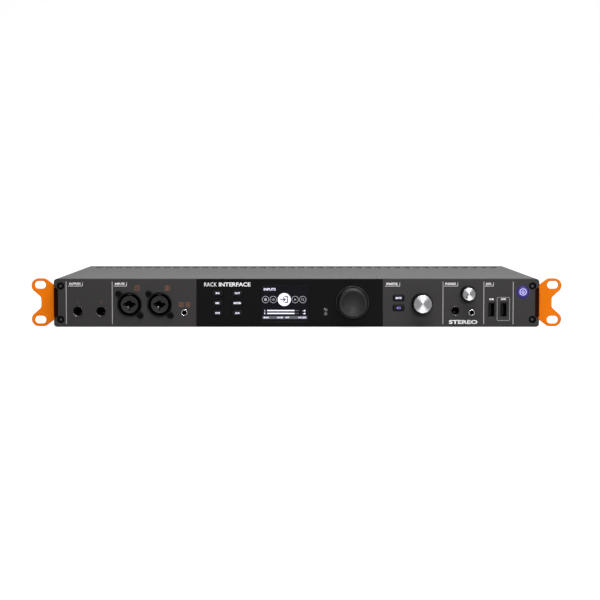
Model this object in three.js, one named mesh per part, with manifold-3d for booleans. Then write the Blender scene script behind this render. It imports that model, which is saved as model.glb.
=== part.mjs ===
// A one-unit rack audio interface with removable rack ears, in millimetres, +Z up.
// The front panel faces -Y. The origin is the centre of the underside of the bottom tray.
import * as THREE from "three";
import { mergeVertices } from "three/addons/utils/BufferGeometryUtils.js";
import Module from "manifold-3d";

const wasm = await Module();
wasm.setup();

// ---------------------------------------------------------------- driving dimensions

const GAP = 0.1; // between pieces that touch when assembled
const RUNNING = 0.1; // radial clearance of a turning shaft
const SHEET = 1.2; // steel sheet of the tray, cover and rear panel

const PANEL = { width: 440, height: 43.6, thick: 6, corner: 3 };
const NOTCH = { depth: 3.6, halfHeight: 15, slope: 2.8 }; // in both ends of the panel
const INNER_PLATE = 1.5;
const INNER_PLATE_TAB = 1.2; // how far its tabs stand out of its ends
const CHASSIS = { width: 439, depth: 267, height: 43.2 };
const EAR = { span: 482.6, thick: 3, flange: 52, lobe: 6.5, waist: 8.8, waistHalf: 4.6 };
const RACK_SLOT = { pitch: 31.75, centreX: 233.3, length: 10.3, width: 7 };
const VENT = { count: 42, pitch: 10, width: 6.5, length: 26, fromBack: 20 };
const FASCIA = { left: -90.7, right: 78, thick: 2.4 };
const DISPLAY = { x: -10.8, z: -0.5, width: 44, height: 33, lens: 1.4, module: 5 };
const BOARD = { thick: 1.6, bottom: 7.1, controlBack: 21 };

const PANEL_FRONT = -CHASSIS.depth / 2 - INNER_PLATE - PANEL.thick - 2 * GAP;
const MID_Z = PANEL.height / 2;
const TOP_OF_BOARD = BOARD.bottom + BOARD.thick;
const INSIDE = PANEL.thick + INNER_PLATE + 2 * GAP; // depth from the panel face to the chassis

// Places on the front: x from the centre line, z from the middle of the panel.
const PANEL_SCREW = { x: 213.9, z: 15.2, head: 3.3, headDeep: 2.4, shank: 1.5 };
const OUTPUT_JACKS = [-198.3, -177.3];
const OUTPUT_JACK_Z = -7.7;
const COMBO_JACKS = [-151.4, -124.1];
const COMBO_Z = -1.6;
const COMBO = { flange: 11.2, hole: 10.9, barrel: 10.6, bore: 10.1, insert: 7.9, screwAt: 9.9 };
const AUX_JACK = { x: -101.7, z: -8.8 };
const PHONES_JACK = { x: 144, z: -7.2 };
const PHONES_MINI = { x: 158.8, z: -8.8 };
const USB_PORTS = [176.7, 187.7];
const USB_Z = -6.4;
const USB = { width: 5.7, height: 13.1, wall: 0.3, depth: 14 };
const NAV = { x: 50.8, z: 0.3, base: 14.2, face: 13.3, dish: 10.5, reach: 17, well: 15.5 };
const MONITOR = { x: 113.6, z: -0.4, radius: 9.2, face: 8.8, reach: 13.5 };
const PHONES_KNOB = { x: 155.3, z: 8.5, radius: 6.7, face: 6.4, reach: 12 };
const POINTER = { at: 3.6, radius: 0.6, angle: -125 }; // the low end of the phones knob's turn
const MODE_BUTTONS = { columns: [-71.6, -53.6], rows: [8.8, -0.2, -9.2] };
const SIDE_BUTTONS = { x: 92.5, rows: [4.4, -4.6] };
const BUTTON = { width: 9.6, height: 4.8, radius: 0.6, proud: 0.5, clear: 0.3, travel: 0.6 };
const BACK_BUTTON = { x: 26.4, z: -10.1, radius: 1.6 };
const POWER_BUTTON = { x: 205.2, z: 9.9, radius: 5 };
const SWITCH = { tall: 3.5, half: 3 }; // the tact switch behind each button

// ---------------------------------------------------------------- materials

const paint = (color, roughness, metalness = 0) =>
  new THREE.MeshStandardMaterial({ color, roughness, metalness });
const PANEL_GREY = paint(0x454446, 0.55, 0.3);
const COVER_GREY = paint(0x7f7e80, 0.5, 0.2);
const EAR_ORANGE = paint(0xe2700f, 0.5);
const BLACK_STEEL = paint(0x141414, 0.5, 0.3);
const GLOSS_BLACK = paint(0x161516, 0.12);
const MATTE_BLACK = paint(0x1c1c1e, 0.6);
const KNOB_SILVER = paint(0xc9c9cb, 0.3, 1);
const NICKEL = paint(0xb8b8b6, 0.25, 1);
const LENS = paint(0x0e1216, 0.05);
const CIRCUIT_GREEN = paint(0x14452c, 0.5);

// ---------------------------------------------------------------- solids

// A closed geometry as a manifold-3d solid, for joining and cutting.
function solid(geometry) {
  const bare = geometry.clone();
  bare.deleteAttribute("normal");
  bare.deleteAttribute("uv");
  const merged = mergeVertices(bare, 1e-4);
  const vertProperties = merged.getAttribute("position").array;
  const triVerts = new Uint32Array(merged.index.array);
  return new wasm.Manifold(new wasm.Mesh({ numProp: 3, vertProperties, triVerts }));
}

function geometryOf(made) {
  const { vertProperties, triVerts } = made.getMesh();
  const geometry = new THREE.BufferGeometry();
  geometry.setAttribute("position", new THREE.BufferAttribute(vertProperties, 3));
  geometry.setIndex(new THREE.BufferAttribute(triVerts, 1));
  return geometry.toNonIndexed();
}

const join = (first, ...rest) => rest.reduce((sum, piece) => sum.add(piece), first);
const cut = (first, ...rest) => rest.reduce((sum, piece) => sum.subtract(piece), first);

// An upright outline in x and z, given depth from y = front to y = back.
function slab(outline, holes, front, back) {
  const shape = new THREE.Shape(outline);
  shape.holes = holes.map((hole) => new THREE.Path(hole));
  const geometry = new THREE.ExtrudeGeometry(shape, { depth: back - front, bevelEnabled: false });
  return solid(geometry.rotateX(Math.PI / 2).translate(0, back, 0));
}

// A flat outline in x and y, given height from z = low to z = high.
function sheet(outline, holes, low, high) {
  const shape = new THREE.Shape(outline);
  shape.holes = holes.map((hole) => new THREE.Path(hole));
  const geometry = new THREE.ExtrudeGeometry(shape, { depth: high - low, bevelEnabled: false });
  return solid(geometry.translate(0, 0, low));
}

function box(x0, x1, y0, y1, z0, z1) {
  const geometry = new THREE.BoxGeometry(x1 - x0, y1 - y0, z1 - z0);
  return solid(geometry.translate((x0 + x1) / 2, (y0 + y1) / 2, (z0 + z1) / 2));
}

// A round bar along y, from y = front to y = back.
function rod(radius, front, back, x = 0, z = 0, sides = 16) {
  const geometry = new THREE.CylinderGeometry(radius, radius, back - front, sides);
  return solid(geometry.translate(x, (front + back) / 2, z));
}

// A round bar along x.
function crossRod(radius, x0, x1, y, z, sides = 12) {
  const geometry = new THREE.CylinderGeometry(radius, radius, x1 - x0, sides);
  return solid(geometry.rotateZ(Math.PI / 2).translate((x0 + x1) / 2, y, z));
}

// A turned piece about the y axis. The profile runs from the back to the front as [radius, y].
function turned(profile, sides) {
  const points = profile.map(([radius, y]) => new THREE.Vector2(radius, y));
  return solid(new THREE.LatheGeometry(points.reverse(), sides));
}

// Points on an arc, both ends included.
function arc(x, z, radius, from, to, steps) {
  return Array.from({ length: steps + 1 }, (_, i) => {
    const angle = from + ((to - from) * i) / steps;
    return new THREE.Vector2(x + radius * Math.cos(angle), z + radius * Math.sin(angle));
  });
}

const circle = (x, z, radius, sides = 16) =>
  arc(x, z, radius, 0, 2 * Math.PI * (1 - 1 / sides), sides - 1);

function roundedRect(x, z, width, height, radius, steps = 3) {
  const right = width / 2 - radius;
  const up = height / 2 - radius;
  const quarter = Math.PI / 2;
  const corners = [[right, up], [-right, up], [-right, -up], [right, -up]];
  return corners.flatMap(([cx, cz], i) =>
    arc(x + cx, z + cz, radius, i * quarter, (i + 1) * quarter, steps),
  );
}

// ---------------------------------------------------------------- front panel and fascia

// The panel's front outline: rounded corners, and a shallow notch in each end for the ears.
// A negative notch depth gives a tab instead.
function panelOutline(shrink = 0, notchDepth = NOTCH.depth) {
  const right = PANEL.width / 2 - shrink;
  const top = PANEL.height / 2 - shrink;
  const r = PANEL.corner;
  const quarter = Math.PI / 2;
  const inner = right - notchDepth;
  const notch = [
    [right, NOTCH.halfHeight],
    [inner, NOTCH.halfHeight - NOTCH.slope],
    [inner, -NOTCH.halfHeight + NOTCH.slope],
    [right, -NOTCH.halfHeight],
  ];
  const rightNotch = notch.map(([x, z]) => new THREE.Vector2(x, z));
  const leftNotch = rightNotch.map(({ x, y }) => new THREE.Vector2(-x, -y));
  return [
    ...arc(-right + r, -top + r, r, 2 * quarter, 3 * quarter, 3),
    ...arc(right - r, -top + r, r, 3 * quarter, 4 * quarter, 3),
    ...rightNotch.reverse(),
    ...arc(right - r, top - r, r, 0, quarter, 3),
    ...arc(-right + r, top - r, r, quarter, 2 * quarter, 3),
    ...leftNotch.reverse(),
  ];
}

const corners = [[-1, 1], [1, 1], [-1, -1], [1, -1]];
const modeButtonPlaces = MODE_BUTTONS.rows.flatMap((z) =>
  MODE_BUTTONS.columns.map((x) => [x, z]),
);
const sideButtonPlaces = SIDE_BUTTONS.rows.map((z) => [SIDE_BUTTONS.x, z]);
const comboScrewPlaces = COMBO_JACKS.flatMap((x) => [
  [x - COMBO.screwAt, COMBO_Z + COMBO.screwAt],
  [x + COMBO.screwAt, COMBO_Z - COMBO.screwAt],
]);

const buttonHole = ([x, z]) =>
  roundedRect(x, z, BUTTON.width + 2 * BUTTON.clear, BUTTON.height + 2 * BUTTON.clear, 0.8, 1);
const fasciaControls = () => [
  ...modeButtonPlaces.map(buttonHole),
  circle(NAV.x, NAV.z, 3.7),
  circle(BACK_BUTTON.x, BACK_BUTTON.z, BACK_BUTTON.radius + BUTTON.clear, 12),
];

// Openings that pass through both the panel and the plate behind it.
function frontOpenings() {
  const { x, z, width, height } = DISPLAY;
  const displayHole = roundedRect(x, z, width + 5, height + 5, 1, 1);
  return [
    ...OUTPUT_JACKS.map((x) => circle(x, OUTPUT_JACK_Z, 5)),
    ...COMBO_JACKS.map((x) => circle(x, COMBO_Z, COMBO.hole, 24)),
    ...comboScrewPlaces.map(([x, z]) => circle(x, z, 1.75, 8)),
    circle(AUX_JACK.x, AUX_JACK.z, 3.2, 12),
    ...fasciaControls(),
    displayHole,
    ...sideButtonPlaces.map(buttonHole),
    circle(MONITOR.x, MONITOR.z, 3.7),
    circle(PHONES_KNOB.x, PHONES_KNOB.z, 3.7),
    circle(PHONES_JACK.x, PHONES_JACK.z, 5),
    circle(PHONES_MINI.x, PHONES_MINI.z, 3.2, 12),
    ...USB_PORTS.map((x) => roundedRect(x, USB_Z, USB.width + 0.4, USB.height + 0.4, 0.4, 1)),
    circle(POWER_BUTTON.x, POWER_BUTTON.z, POWER_BUTTON.radius + BUTTON.clear),
  ];
}

function frontPanel() {
  const screwHoles = corners.map(([sx, sz]) =>
    circle(sx * PANEL_SCREW.x, sz * PANEL_SCREW.z, PANEL_SCREW.shank + 0.25, 8),
  );
  const plate = slab(panelOutline(), [...frontOpenings(), ...screwHoles], 0, PANEL.thick);
  const pocketDepth = FASCIA.thick + GAP;
  const pocket = box(FASCIA.left, FASCIA.right, -1, pocketDepth, -PANEL.height, PANEL.height);
  const counterbores = corners.map(([sx, sz]) =>
    rod(PANEL_SCREW.head + 0.15, -1, PANEL_SCREW.headDeep, sx * PANEL_SCREW.x, sz * PANEL_SCREW.z),
  );
  return cut(plate, pocket, ...counterbores);
}

function centreFascia() {
  const width = FASCIA.right - FASCIA.left - 2 * GAP;
  const outline = roundedRect((FASCIA.left + FASCIA.right) / 2, 0, width, PANEL.height, 0.3, 1);
  const lensHole = roundedRect(DISPLAY.x, DISPLAY.z, DISPLAY.width, DISPLAY.height, 0.5, 1);
  const plate = slab(outline, [...fasciaControls(), lensHole], 0, FASCIA.thick);
  return cut(plate, rod(NAV.well, -1, 0.6, NAV.x, NAV.z, 32));
}

// The plate behind the panel. A tab at each end closes the panel's notch from behind.
function innerFrontPlate() {
  const screwHoles = corners.map(([sx, sz]) =>
    circle(sx * PANEL_SCREW.x, sz * PANEL_SCREW.z, PANEL_SCREW.shank + 0.25, 8),
  );
  const front = PANEL.thick + GAP;
  const holes = [...frontOpenings(), ...screwHoles];
  return slab(panelOutline(0.4, -INNER_PLATE_TAB), holes, front, front + INNER_PLATE);
}

const displayWindow = () =>
  slab(
    roundedRect(DISPLAY.x, DISPLAY.z, DISPLAY.width - 2 * GAP, DISPLAY.height - 2 * GAP, 0.4, 1),
    [],
    0,
    DISPLAY.lens,
  );

// The panel of the display sits behind the fascia, and its rim is wider than the window.
function displayModule() {
  const front = FASCIA.thick + GAP;
  const { x, z, width, height } = DISPLAY;
  const rim = roundedRect(x, z, width + 4, height + 4, 0.8, 1);
  const screen = roundedRect(x, z, width - 1, height - 1, 0.4, 1);
  return join(
    slab(rim, [], front, front + DISPLAY.module),
    slab(screen, [], DISPLAY.lens + GAP, front + 0.2),
  );
}

// Cap screw sunk in the panel, with a hexagon socket.
function panelScrew() {
  const { head, headDeep, shank } = PANEL_SCREW;
  const capFront = 0.5;
  const capBack = headDeep - GAP;
  const body = join(
    rod(head, capFront, capBack),
    rod(shank, capBack - 0.1, PANEL.thick + INNER_PLATE, 0, 0, 8),
  );
  return cut(body, rod(1.45, 0, capFront + 1.2, 0, 0, 6));
}

// ---------------------------------------------------------------- front connectors

// A quarter-inch jack: a round nose through the panel and a box behind it on the main board.
function quarterInchJack(noseRadius, z) {
  const bottom = TOP_OF_BOARD + GAP - MID_Z - z;
  const body = join(
    rod(noseRadius, -0.4, INSIDE + 1),
    box(-6.5, 6.5, INSIDE + GAP, INSIDE + 21, bottom, 6),
  );
  return cut(body, rod(3.25, -1, INSIDE + 18));
}

function miniJack(z) {
  const bottom = TOP_OF_BOARD + GAP - MID_Z - z;
  const body = join(
    rod(3, -0.5, INSIDE + 1, 0, 0, 12),
    box(-3.6, 3.6, INSIDE + GAP, INSIDE + 12, bottom, 3.8),
  );
  return cut(body, rod(1.8, -1, INSIDE + 10, 0, 0, 12));
}

// A combination jack: an XLR insert with a quarter-inch hole in its middle, inside a barrel.
function comboJack() {
  const proud = -1.2;
  const insertFront = -0.6;
  const grooveEnd = 11;
  const shell = turned(
    [
      [0, INSIDE + 4],
      [COMBO.barrel, INSIDE + 4],
      [COMBO.barrel, -GAP],
      [COMBO.flange, -GAP],
      [COMBO.flange, proud],
      [COMBO.bore, proud],
      [COMBO.bore, grooveEnd],
      [COMBO.insert, grooveEnd],
      [COMBO.insert, insertFront],
      [0, insertFront],
    ],
    24,
  );
  const lobe = (side) =>
    slab(circle(-side * COMBO.screwAt, side * COMBO.screwAt, 3.2, 12), [], proud + 0.2, -GAP);
  const neck = (side) => {
    const reach = COMBO.screwAt;
    const inner = COMBO.bore * Math.SQRT1_2 + 0.4;
    const half = 2.2;
    const points = [
      [-side * (reach - half), side * (reach + half)],
      [-side * (reach + half), side * (reach - half)],
      [-side * (inner + half), side * (inner - half)],
      [-side * (inner - half), side * (inner + half)],
    ];
    return slab(points.map(([x, z]) => new THREE.Vector2(x, z)), [], proud + 0.2, -GAP);
  };
  const rear = box(-11, 11, INSIDE + GAP, INSIDE + 24, -11.4, 11.4);
  const screwHole = (side) =>
    rod(1.75, -3, 1, -side * COMBO.screwAt, side * COMBO.screwAt, 8);
  const pins = [[-4.4, 1], [4.4, 1], [0, -4.9]];
  return cut(
    join(shell, lobe(1), lobe(-1), neck(1), neck(-1), rear),
    rod(3.3, -2, INSIDE + 20),
    ...pins.map(([x, z]) => rod(1.2, -2, 9, x, z, 8)),
    screwHole(1),
    screwHole(-1),
  );
}

function comboScrew() {
  const seat = -1.0 - GAP;
  const body = join(rod(2.6, seat - 1.2, seat), rod(1.5, seat - 0.1, INSIDE - 0.3, 0, 0, 8));
  return cut(body, rod(1.1, seat - 2, seat - 0.4, 0, 0, 6));
}

// An upright type A socket: a metal shell open at the front, with a tongue inside.
function usbPort() {
  const front = 0.8;
  const back = front + USB.depth;
  const halfX = USB.width / 2;
  const halfZ = USB.height / 2;
  const shell = cut(
    box(-halfX, halfX, front, back, -halfZ, halfZ),
    box(-halfX + USB.wall, halfX - USB.wall, 0, back - 2, -halfZ + USB.wall, halfZ - USB.wall),
  );
  return join(shell, box(-1.9, -0.1, front + 1.2, back - 1, -5.5, 5.5));
}

// ---------------------------------------------------------------- controls

// A push-encoder or potentiometer body with a threaded neck through the plate and the panel.
function rotaryBody(neckEnd) {
  const back = BOARD.controlBack - BOARD.thick - GAP;
  const body = join(
    box(-5.8, 5.8, INSIDE + GAP, back, -5.8, 5.8),
    rod(3.5, neckEnd, INSIDE + 1),
  );
  return cut(body, rod(3 + RUNNING, neckEnd - 1, back + 1));
}

// The big dished knob of the menu encoder.
function navKnob() {
  const { base, face, dish, reach } = NAV;
  const back = -0.8;
  const dishDepth = 1.5;
  const dishPoints = arc(0, 0, 1, 0, Math.PI / 2, 3).map(({ x, y }) => [
    dish * x,
    -reach + dishDepth * y,
  ]);
  const body = turned(
    [
      [0, back],
      [base - 0.4, back],
      [base, back - 0.6],
      [face + 0.2, -reach + 1.6],
      [face - 0.3, -reach + 0.6],
      [face - 1.2, -reach],
      ...dishPoints,
    ],
    32,
  );
  const hollow = cut(rod(base - 2.2, back - 8, back + 1, 0, 0, 24), rod(5.5, back - 9, back + 2));
  return cut(body, hollow, rod(3 + GAP, -reach + 5, 0));
}

// A slightly tapered knob with a shallow seat in its face for a metal cap.
const CAP_THICK = 1.2;
function cappedKnob({ radius, face, reach }) {
  const back = -1;
  const rim = face + 0.1;
  const seat = -reach + CAP_THICK;
  const body = turned(
    [
      [0, back],
      [radius - 0.3, back],
      [radius, back - 0.3],
      [rim, -reach + 0.6],
      [rim - 0.2, -reach + 0.2],
      [face - 0.4, -reach + 0.2],
      [face - 0.4, seat],
      [0, seat],
    ],
    24,
  );
  return cut(body, rod(3 + GAP, seat + 3, 0));
}

function knobCap({ face, reach }) {
  const rim = face - 0.5;
  return turned(
    [
      [0, -reach + CAP_THICK - GAP],
      [rim, -reach + CAP_THICK - GAP],
      [rim, -reach + 0.3],
      [rim - 0.3, -reach],
      [0, -reach],
    ],
    24,
  );
}

// A push button: the cap stands in the panel, with a collar and a stem behind the plate.
function pushButton(outline, collar) {
  const collarFront = INSIDE + 0.4;
  const stemEnd = BOARD.controlBack - BOARD.thick - SWITCH.tall - GAP - BUTTON.travel;
  return join(
    slab(outline, [], -BUTTON.proud, collarFront + 0.1),
    slab(collar, [], collarFront, collarFront + 1),
    rod(1.2, collarFront + 0.9, stemEnd, 0, 0, 8),
  );
}

const barButton = () =>
  pushButton(
    roundedRect(0, 0, BUTTON.width, BUTTON.height, BUTTON.radius, 2),
    roundedRect(0, 0, BUTTON.width + 2, BUTTON.height + 2, 0.5, 1),
  );
const roundButton = (radius) => pushButton(circle(0, 0, radius), circle(0, 0, radius + 1));

// ---------------------------------------------------------------- circuit boards

// The upright board that holds the switches, encoders and display, cut away over the sockets.
function controlBoard() {
  const back = BOARD.controlBack;
  const front = back - BOARD.thick;
  const low = 10.2 - MID_Z;
  const high = 39 - MID_Z;
  const cutaway = 2.4;
  const outline = [
    [-85, low], [135, low], [135, cutaway], [197, cutaway],
    [197, low], [211, low], [211, high], [-85, high],
  ].map(([x, z]) => new THREE.Vector2(x, z));
  const board = slab(outline, [], front, back);
  const places = [
    ...modeButtonPlaces,
    ...sideButtonPlaces,
    [BACK_BUTTON.x, BACK_BUTTON.z],
    [POWER_BUTTON.x, POWER_BUTTON.z],
  ];
  const switches = places.map(([x, z]) =>
    box(x - SWITCH.half, x + SWITCH.half, front - SWITCH.tall, front + 0.1, z - 2.9, z + 2.9),
  );
  return join(board, ...switches);
}

// The main board, with its processor, shield can, regulators and reservoir capacitors.
function mainBoard() {
  const halfX = 211;
  const front = -CHASSIS.depth / 2 + 1.5;
  const back = CHASSIS.depth / 2 - 3.5;
  const top = TOP_OF_BOARD;
  const board = sheet(
    roundedRect(0, (front + back) / 2, 2 * halfX, back - front, 2, 1),
    standoffPlaces.map(([x, y]) => circle(x, y, 1.7, 8)),
    BOARD.bottom,
    top,
  );
  const part = (x, y, w, d, h) =>
    box(x - w / 2, x + w / 2, y - d / 2, y + d / 2, top - 0.1, top + h);
  const capacitor = (x, y) => {
    const can = new THREE.CylinderGeometry(5, 5, 12.1, 12);
    return solid(can.rotateX(Math.PI / 2).translate(x, y, top + 5.95));
  };
  const capacitors = [0, 1, 2, 3].map((i) => capacitor(192 - 13 * i, 74));
  return join(
    board,
    part(20, -20, 27, 27, 2.4),
    part(75, -20, 22, 22, 2),
    part(-60, 10, 70, 46, 5),
    part(-150, 20, 40, 40, 3),
    part(165, 40, 44, 18, 9),
    ...capacitors,
  );
}

// ---------------------------------------------------------------- chassis

const standoffPlaces = [-1, 1].flatMap((side) =>
  [-1, 0, 1].map((along) => [side * 204, along * (CHASSIS.depth / 2 - 16)]),
);
const earScrewY = [18, 42].map((fromFront) => fromFront - CHASSIS.depth / 2);
const EAR_SCREW = { head: 3.6, headTall: 2, shank: 2 };
const sideInner = CHASSIS.width / 2 - SHEET; // inner face of the cover's sides

function bottomTray() {
  const half = CHASSIS.width / 2;
  const end = CHASSIS.depth / 2;
  const wallOuter = sideInner - GAP;
  const wallTop = CHASSIS.height - SHEET - 0.5;
  const floor = box(-half, half, -end, end, 0, SHEET);
  const wall = (side) => {
    const [a, b] = [side * wallOuter, side * (wallOuter - SHEET)].sort((p, q) => p - q);
    return box(a, b, -end, end, SHEET - 0.1, wallTop);
  };
  const standoffs = standoffPlaces.map(([x, y]) => {
    const post = new THREE.CylinderGeometry(3, 3, BOARD.bottom - GAP, 8);
    return solid(post.rotateX(Math.PI / 2).translate(x, y, (BOARD.bottom - GAP) / 2));
  });
  const holes = earScrewY.map((y) => crossRod(EAR_SCREW.shank + 0.2, -half, half, y, MID_Z));
  return cut(join(floor, wall(-1), wall(1), ...standoffs), ...holes);
}

// The cover: a folded channel with a row of vent slots along the back of its top.
function topCover() {
  const half = CHASSIS.width / 2;
  const end = CHASSIS.depth / 2;
  const top = CHASSIS.height;
  const slotY = end - VENT.fromBack - VENT.length / 2;
  const slots = Array.from({ length: VENT.count }, (_, i) => {
    const x = (i - (VENT.count - 1) / 2) * VENT.pitch;
    return roundedRect(x, slotY, VENT.width, VENT.length, 2.2, 1);
  });
  const outline = [[-half, -end], [half, -end], [half, end], [-half, end]];
  const lid = sheet(outline.map(([x, y]) => new THREE.Vector2(x, y)), slots, top - SHEET, top);
  const bottomEdge = SHEET + GAP;
  const wall = (side) => {
    const [a, b] = [side * sideInner, side * half].sort((p, q) => p - q);
    return box(a, b, -end, end, bottomEdge, top - SHEET + 0.1);
  };
  const holes = earScrewY.map((y) =>
    crossRod(EAR_SCREW.shank + 0.2, -half - 1, half + 1, y, MID_Z),
  );
  return cut(join(lid, wall(-1), wall(1)), ...holes);
}

// ---------------------------------------------------------------- rack ears

// The right ear, seen from the front, in x from the centre line and z from the middle.
function earOutline() {
  const tip = EAR.span / 2;
  const top = PANEL.height / 2;
  const { lobe, waistHalf } = EAR;
  const slotZ = RACK_SLOT.pitch / 2;
  const lobeX = tip - lobe;
  const waist = tip - EAR.waist;
  const root = CHASSIS.width / 2 + 0.2;
  const shoulder = tip - 12.6;
  const edge = PANEL.width / 2;
  const upper = [
    [root, 15],
    [edge, 15],
    [shoulder, top],
    [lobeX, top],
  ];
  const lobeArc = arc(lobeX, top - lobe, lobe, Math.PI / 2, -Math.PI / 4, 9);
  const half = [
    ...upper.map(([x, z]) => new THREE.Vector2(x, z)),
    ...lobeArc.slice(1),
    new THREE.Vector2(waist, waistHalf),
  ];
  const mirrored = half.map(({ x, y }) => new THREE.Vector2(x, -y)).reverse();
  const slot = (z) => {
    const run = (RACK_SLOT.length - RACK_SLOT.width) / 2;
    const r = RACK_SLOT.width / 2;
    const quarter = Math.PI / 2;
    return [
      ...arc(RACK_SLOT.centreX + run, z, r, -quarter, quarter, 8),
      ...arc(RACK_SLOT.centreX - run, z, r, quarter, 3 * quarter, 8),
    ];
  };
  return { outline: [...half, ...mirrored].reverse(), slots: [slot(slotZ), slot(-slotZ)] };
}

// An L bracket: the slotted plate in front, and a flange along the side of the cover.
function rackEar(side) {
  const { outline, slots } = earOutline();
  const place = (points) => {
    const moved = points.map(({ x, y }) => new THREE.Vector2(side * x, y));
    return side < 0 ? moved.reverse() : moved;
  };
  const plate = slab(place(outline), slots.map(place), 0, EAR.thick);
  const inner = CHASSIS.width / 2 + 0.2;
  const [a, b] = [side * inner, side * (inner + EAR.thick)].sort((p, q) => p - q);
  const flange = box(a, b, 0.1, EAR.flange, -15, 15);
  const reach = CHASSIS.depth / 2 - 2 * GAP;
  const holes = earScrewY.map((y) =>
    crossRod(EAR_SCREW.shank + 0.2, a - 1, b + 1, y + reach, 0),
  );
  const chamfer = (z) => {
    const corner = new THREE.CylinderGeometry(9, 9, 12, 4);
    corner.rotateZ(Math.PI / 2);
    return solid(corner.translate((a + b) / 2, EAR.flange, z));
  };
  return cut(join(plate, flange), ...holes, chamfer(15), chamfer(-15));
}

// A button-head screw along x, through the ear, the cover and the tray wall.
function earScrew(side) {
  const seat = CHASSIS.width / 2 + 0.2 + EAR.thick + GAP;
  const tip = sideInner - GAP - SHEET - 2;
  const span = (p, q) => [side * p, side * q].sort((m, n) => m - n);
  const head = crossRod(EAR_SCREW.head, ...span(seat, seat + EAR_SCREW.headTall), 0, 0);
  const shank = crossRod(EAR_SCREW.shank, ...span(tip, seat + 0.1), 0, 0);
  const socket = crossRod(1.5, ...span(seat + 0.8, seat + 5), 0, 0, 6);
  return cut(join(head, shank), socket);
}

// ---------------------------------------------------------------- rear panel and its sockets

// Places on the rear, in the rear group's own frame: x runs to the left as seen from behind.
const REAR = {
  line: { x: 112, columns: 8, pitch: 17 },
  rows: [-8.6, 9],
  optical: { x: -6, pitch: 16, rows: [-6.5, 7.5], half: 5 },
  clock: { x: -60 },
  usbC: { x: -120, z: -9.5, width: 9, height: 3.3 },
  inlet: { x: -180, z: -3, radius: 6 },
};

const linePlaces = REAR.rows.flatMap((z) =>
  Array.from({ length: REAR.line.columns }, (_, i) => {
    const fromMiddle = i - (REAR.line.columns - 1) / 2;
    return [REAR.line.x + fromMiddle * REAR.line.pitch, z];
  }),
);
const opticalPlaces = REAR.optical.rows.flatMap((z) =>
  [-1, 1].map((s) => [REAR.optical.x + (s * REAR.optical.pitch) / 2, z]),
);
const clockPlaces = REAR.rows.map((z) => [REAR.clock.x, z]);
const boardTop = TOP_OF_BOARD + GAP - MID_Z;
const behindRear = SHEET + GAP;

function rearPanel() {
  const width = 2 * (sideInner - SHEET - 2 * GAP);
  const low = SHEET + GAP - MID_Z;
  const high = CHASSIS.height - SHEET - GAP - MID_Z;
  const outline = roundedRect(0, (low + high) / 2, width, high - low, 0.5, 1);
  const { optical, usbC, inlet } = REAR;
  const opening = 2 * optical.half + 0.4;
  const holes = [
    ...linePlaces.map(([x, z]) => circle(x, z, 5, 8)),
    ...opticalPlaces.map(([x, z]) => roundedRect(x, z, opening, opening, 0.2, 1)),
    ...clockPlaces.map(([x, z]) => circle(x, z, 6.2, 12)),
    roundedRect(usbC.x, usbC.z, usbC.width + 0.6, usbC.height + 0.6, 1.6, 2),
    circle(inlet.x, inlet.z, inlet.radius + 0.2, 16),
  ];
  return slab(outline, holes, 0, SHEET);
}

// The line jacks, ganged in one block on the main board, each with a nose through the panel.
function lineJackBank() {
  const { x, columns, pitch } = REAR.line;
  const half = (columns * pitch) / 2;
  const block = box(x - half, x + half, behindRear, 24, boardTop, REAR.rows[1] + 7);
  const noses = linePlaces.map(([cx, cz]) => rod(4.8, -0.6, behindRear + 1, cx, cz, 8));
  const bores = linePlaces.map(([cx, cz]) => rod(3.25, -2, 20, cx, cz, 8));
  return cut(join(block, ...noses), ...bores);
}

function opticalBank() {
  const { x, pitch, half } = REAR.optical;
  const block = box(x - pitch, x + pitch, behindRear, 14, boardTop, 15);
  const cube = (y0, y1, size) => ([cx, cz]) =>
    box(cx - size, cx + size, y0, y1, cz - size, cz + size);
  const noses = opticalPlaces.map(cube(-0.4, behindRear + 1, half));
  const mouths = opticalPlaces.map(cube(-2, 8, half - 1));
  return cut(join(block, ...noses), ...mouths);
}

// Two bayonet coaxial sockets, one above the other, on one upright base.
function clockPair() {
  const base = box(REAR.clock.x - 7, REAR.clock.x + 7, behindRear, 14, boardTop, 16.5);
  const barrels = clockPlaces.map(([x, z]) =>
    join(rod(6, -1.4, behindRear + 1, x, z, 12), rod(4.8, -11, 0, x, z, 12)),
  );
  const lugs = clockPlaces.map(([x, z]) => box(x - 5.8, x + 5.8, -9.6, -8, z - 0.9, z + 0.9));
  const sockets = clockPlaces.map(([x, z]) =>
    cut(rod(3.9, -12, -2, x, z, 12), rod(2.3, -9.5, 0, x, z, 8)),
  );
  return cut(join(base, ...barrels, ...lugs), ...sockets);
}

function usbCPort() {
  const { x, z, width, height } = REAR.usbC;
  const shell = cut(
    slab(roundedRect(x, z, width, height, 1.4, 3), [], 0.3, 9),
    slab(roundedRect(x, z, width - 0.7, height - 0.7, 1.1, 3), [], -1, 7),
  );
  const foot = box(x - 4.4, x + 4.4, behindRear + 1, 9, boardTop, z - 0.9);
  const tongue = box(x - 3.3, x + 3.3, 1.2, 8, z - 0.35, z + 0.35);
  return join(shell, cut(foot, slab(roundedRect(x, z, width, height, 1.4, 3), [], -1, 8)), tongue);
}

// The locking low-voltage inlet: a round shell with four contacts.
function powerInlet() {
  const { x, z, radius } = REAR.inlet;
  const body = join(
    rod(radius, -2.2, behindRear + 1, x, z),
    box(x - 7, x + 7, behindRear, 16, boardTop, z + 7),
  );
  const contacts = corners.map(([sx, sz]) => rod(0.6, 0, 10, x + 1.7 * sx, z + 1.7 * sz, 6));
  return join(cut(body, rod(radius - 1.4, -4, 9, x, z)), ...contacts);
}

// ---------------------------------------------------------------- assembly

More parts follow.
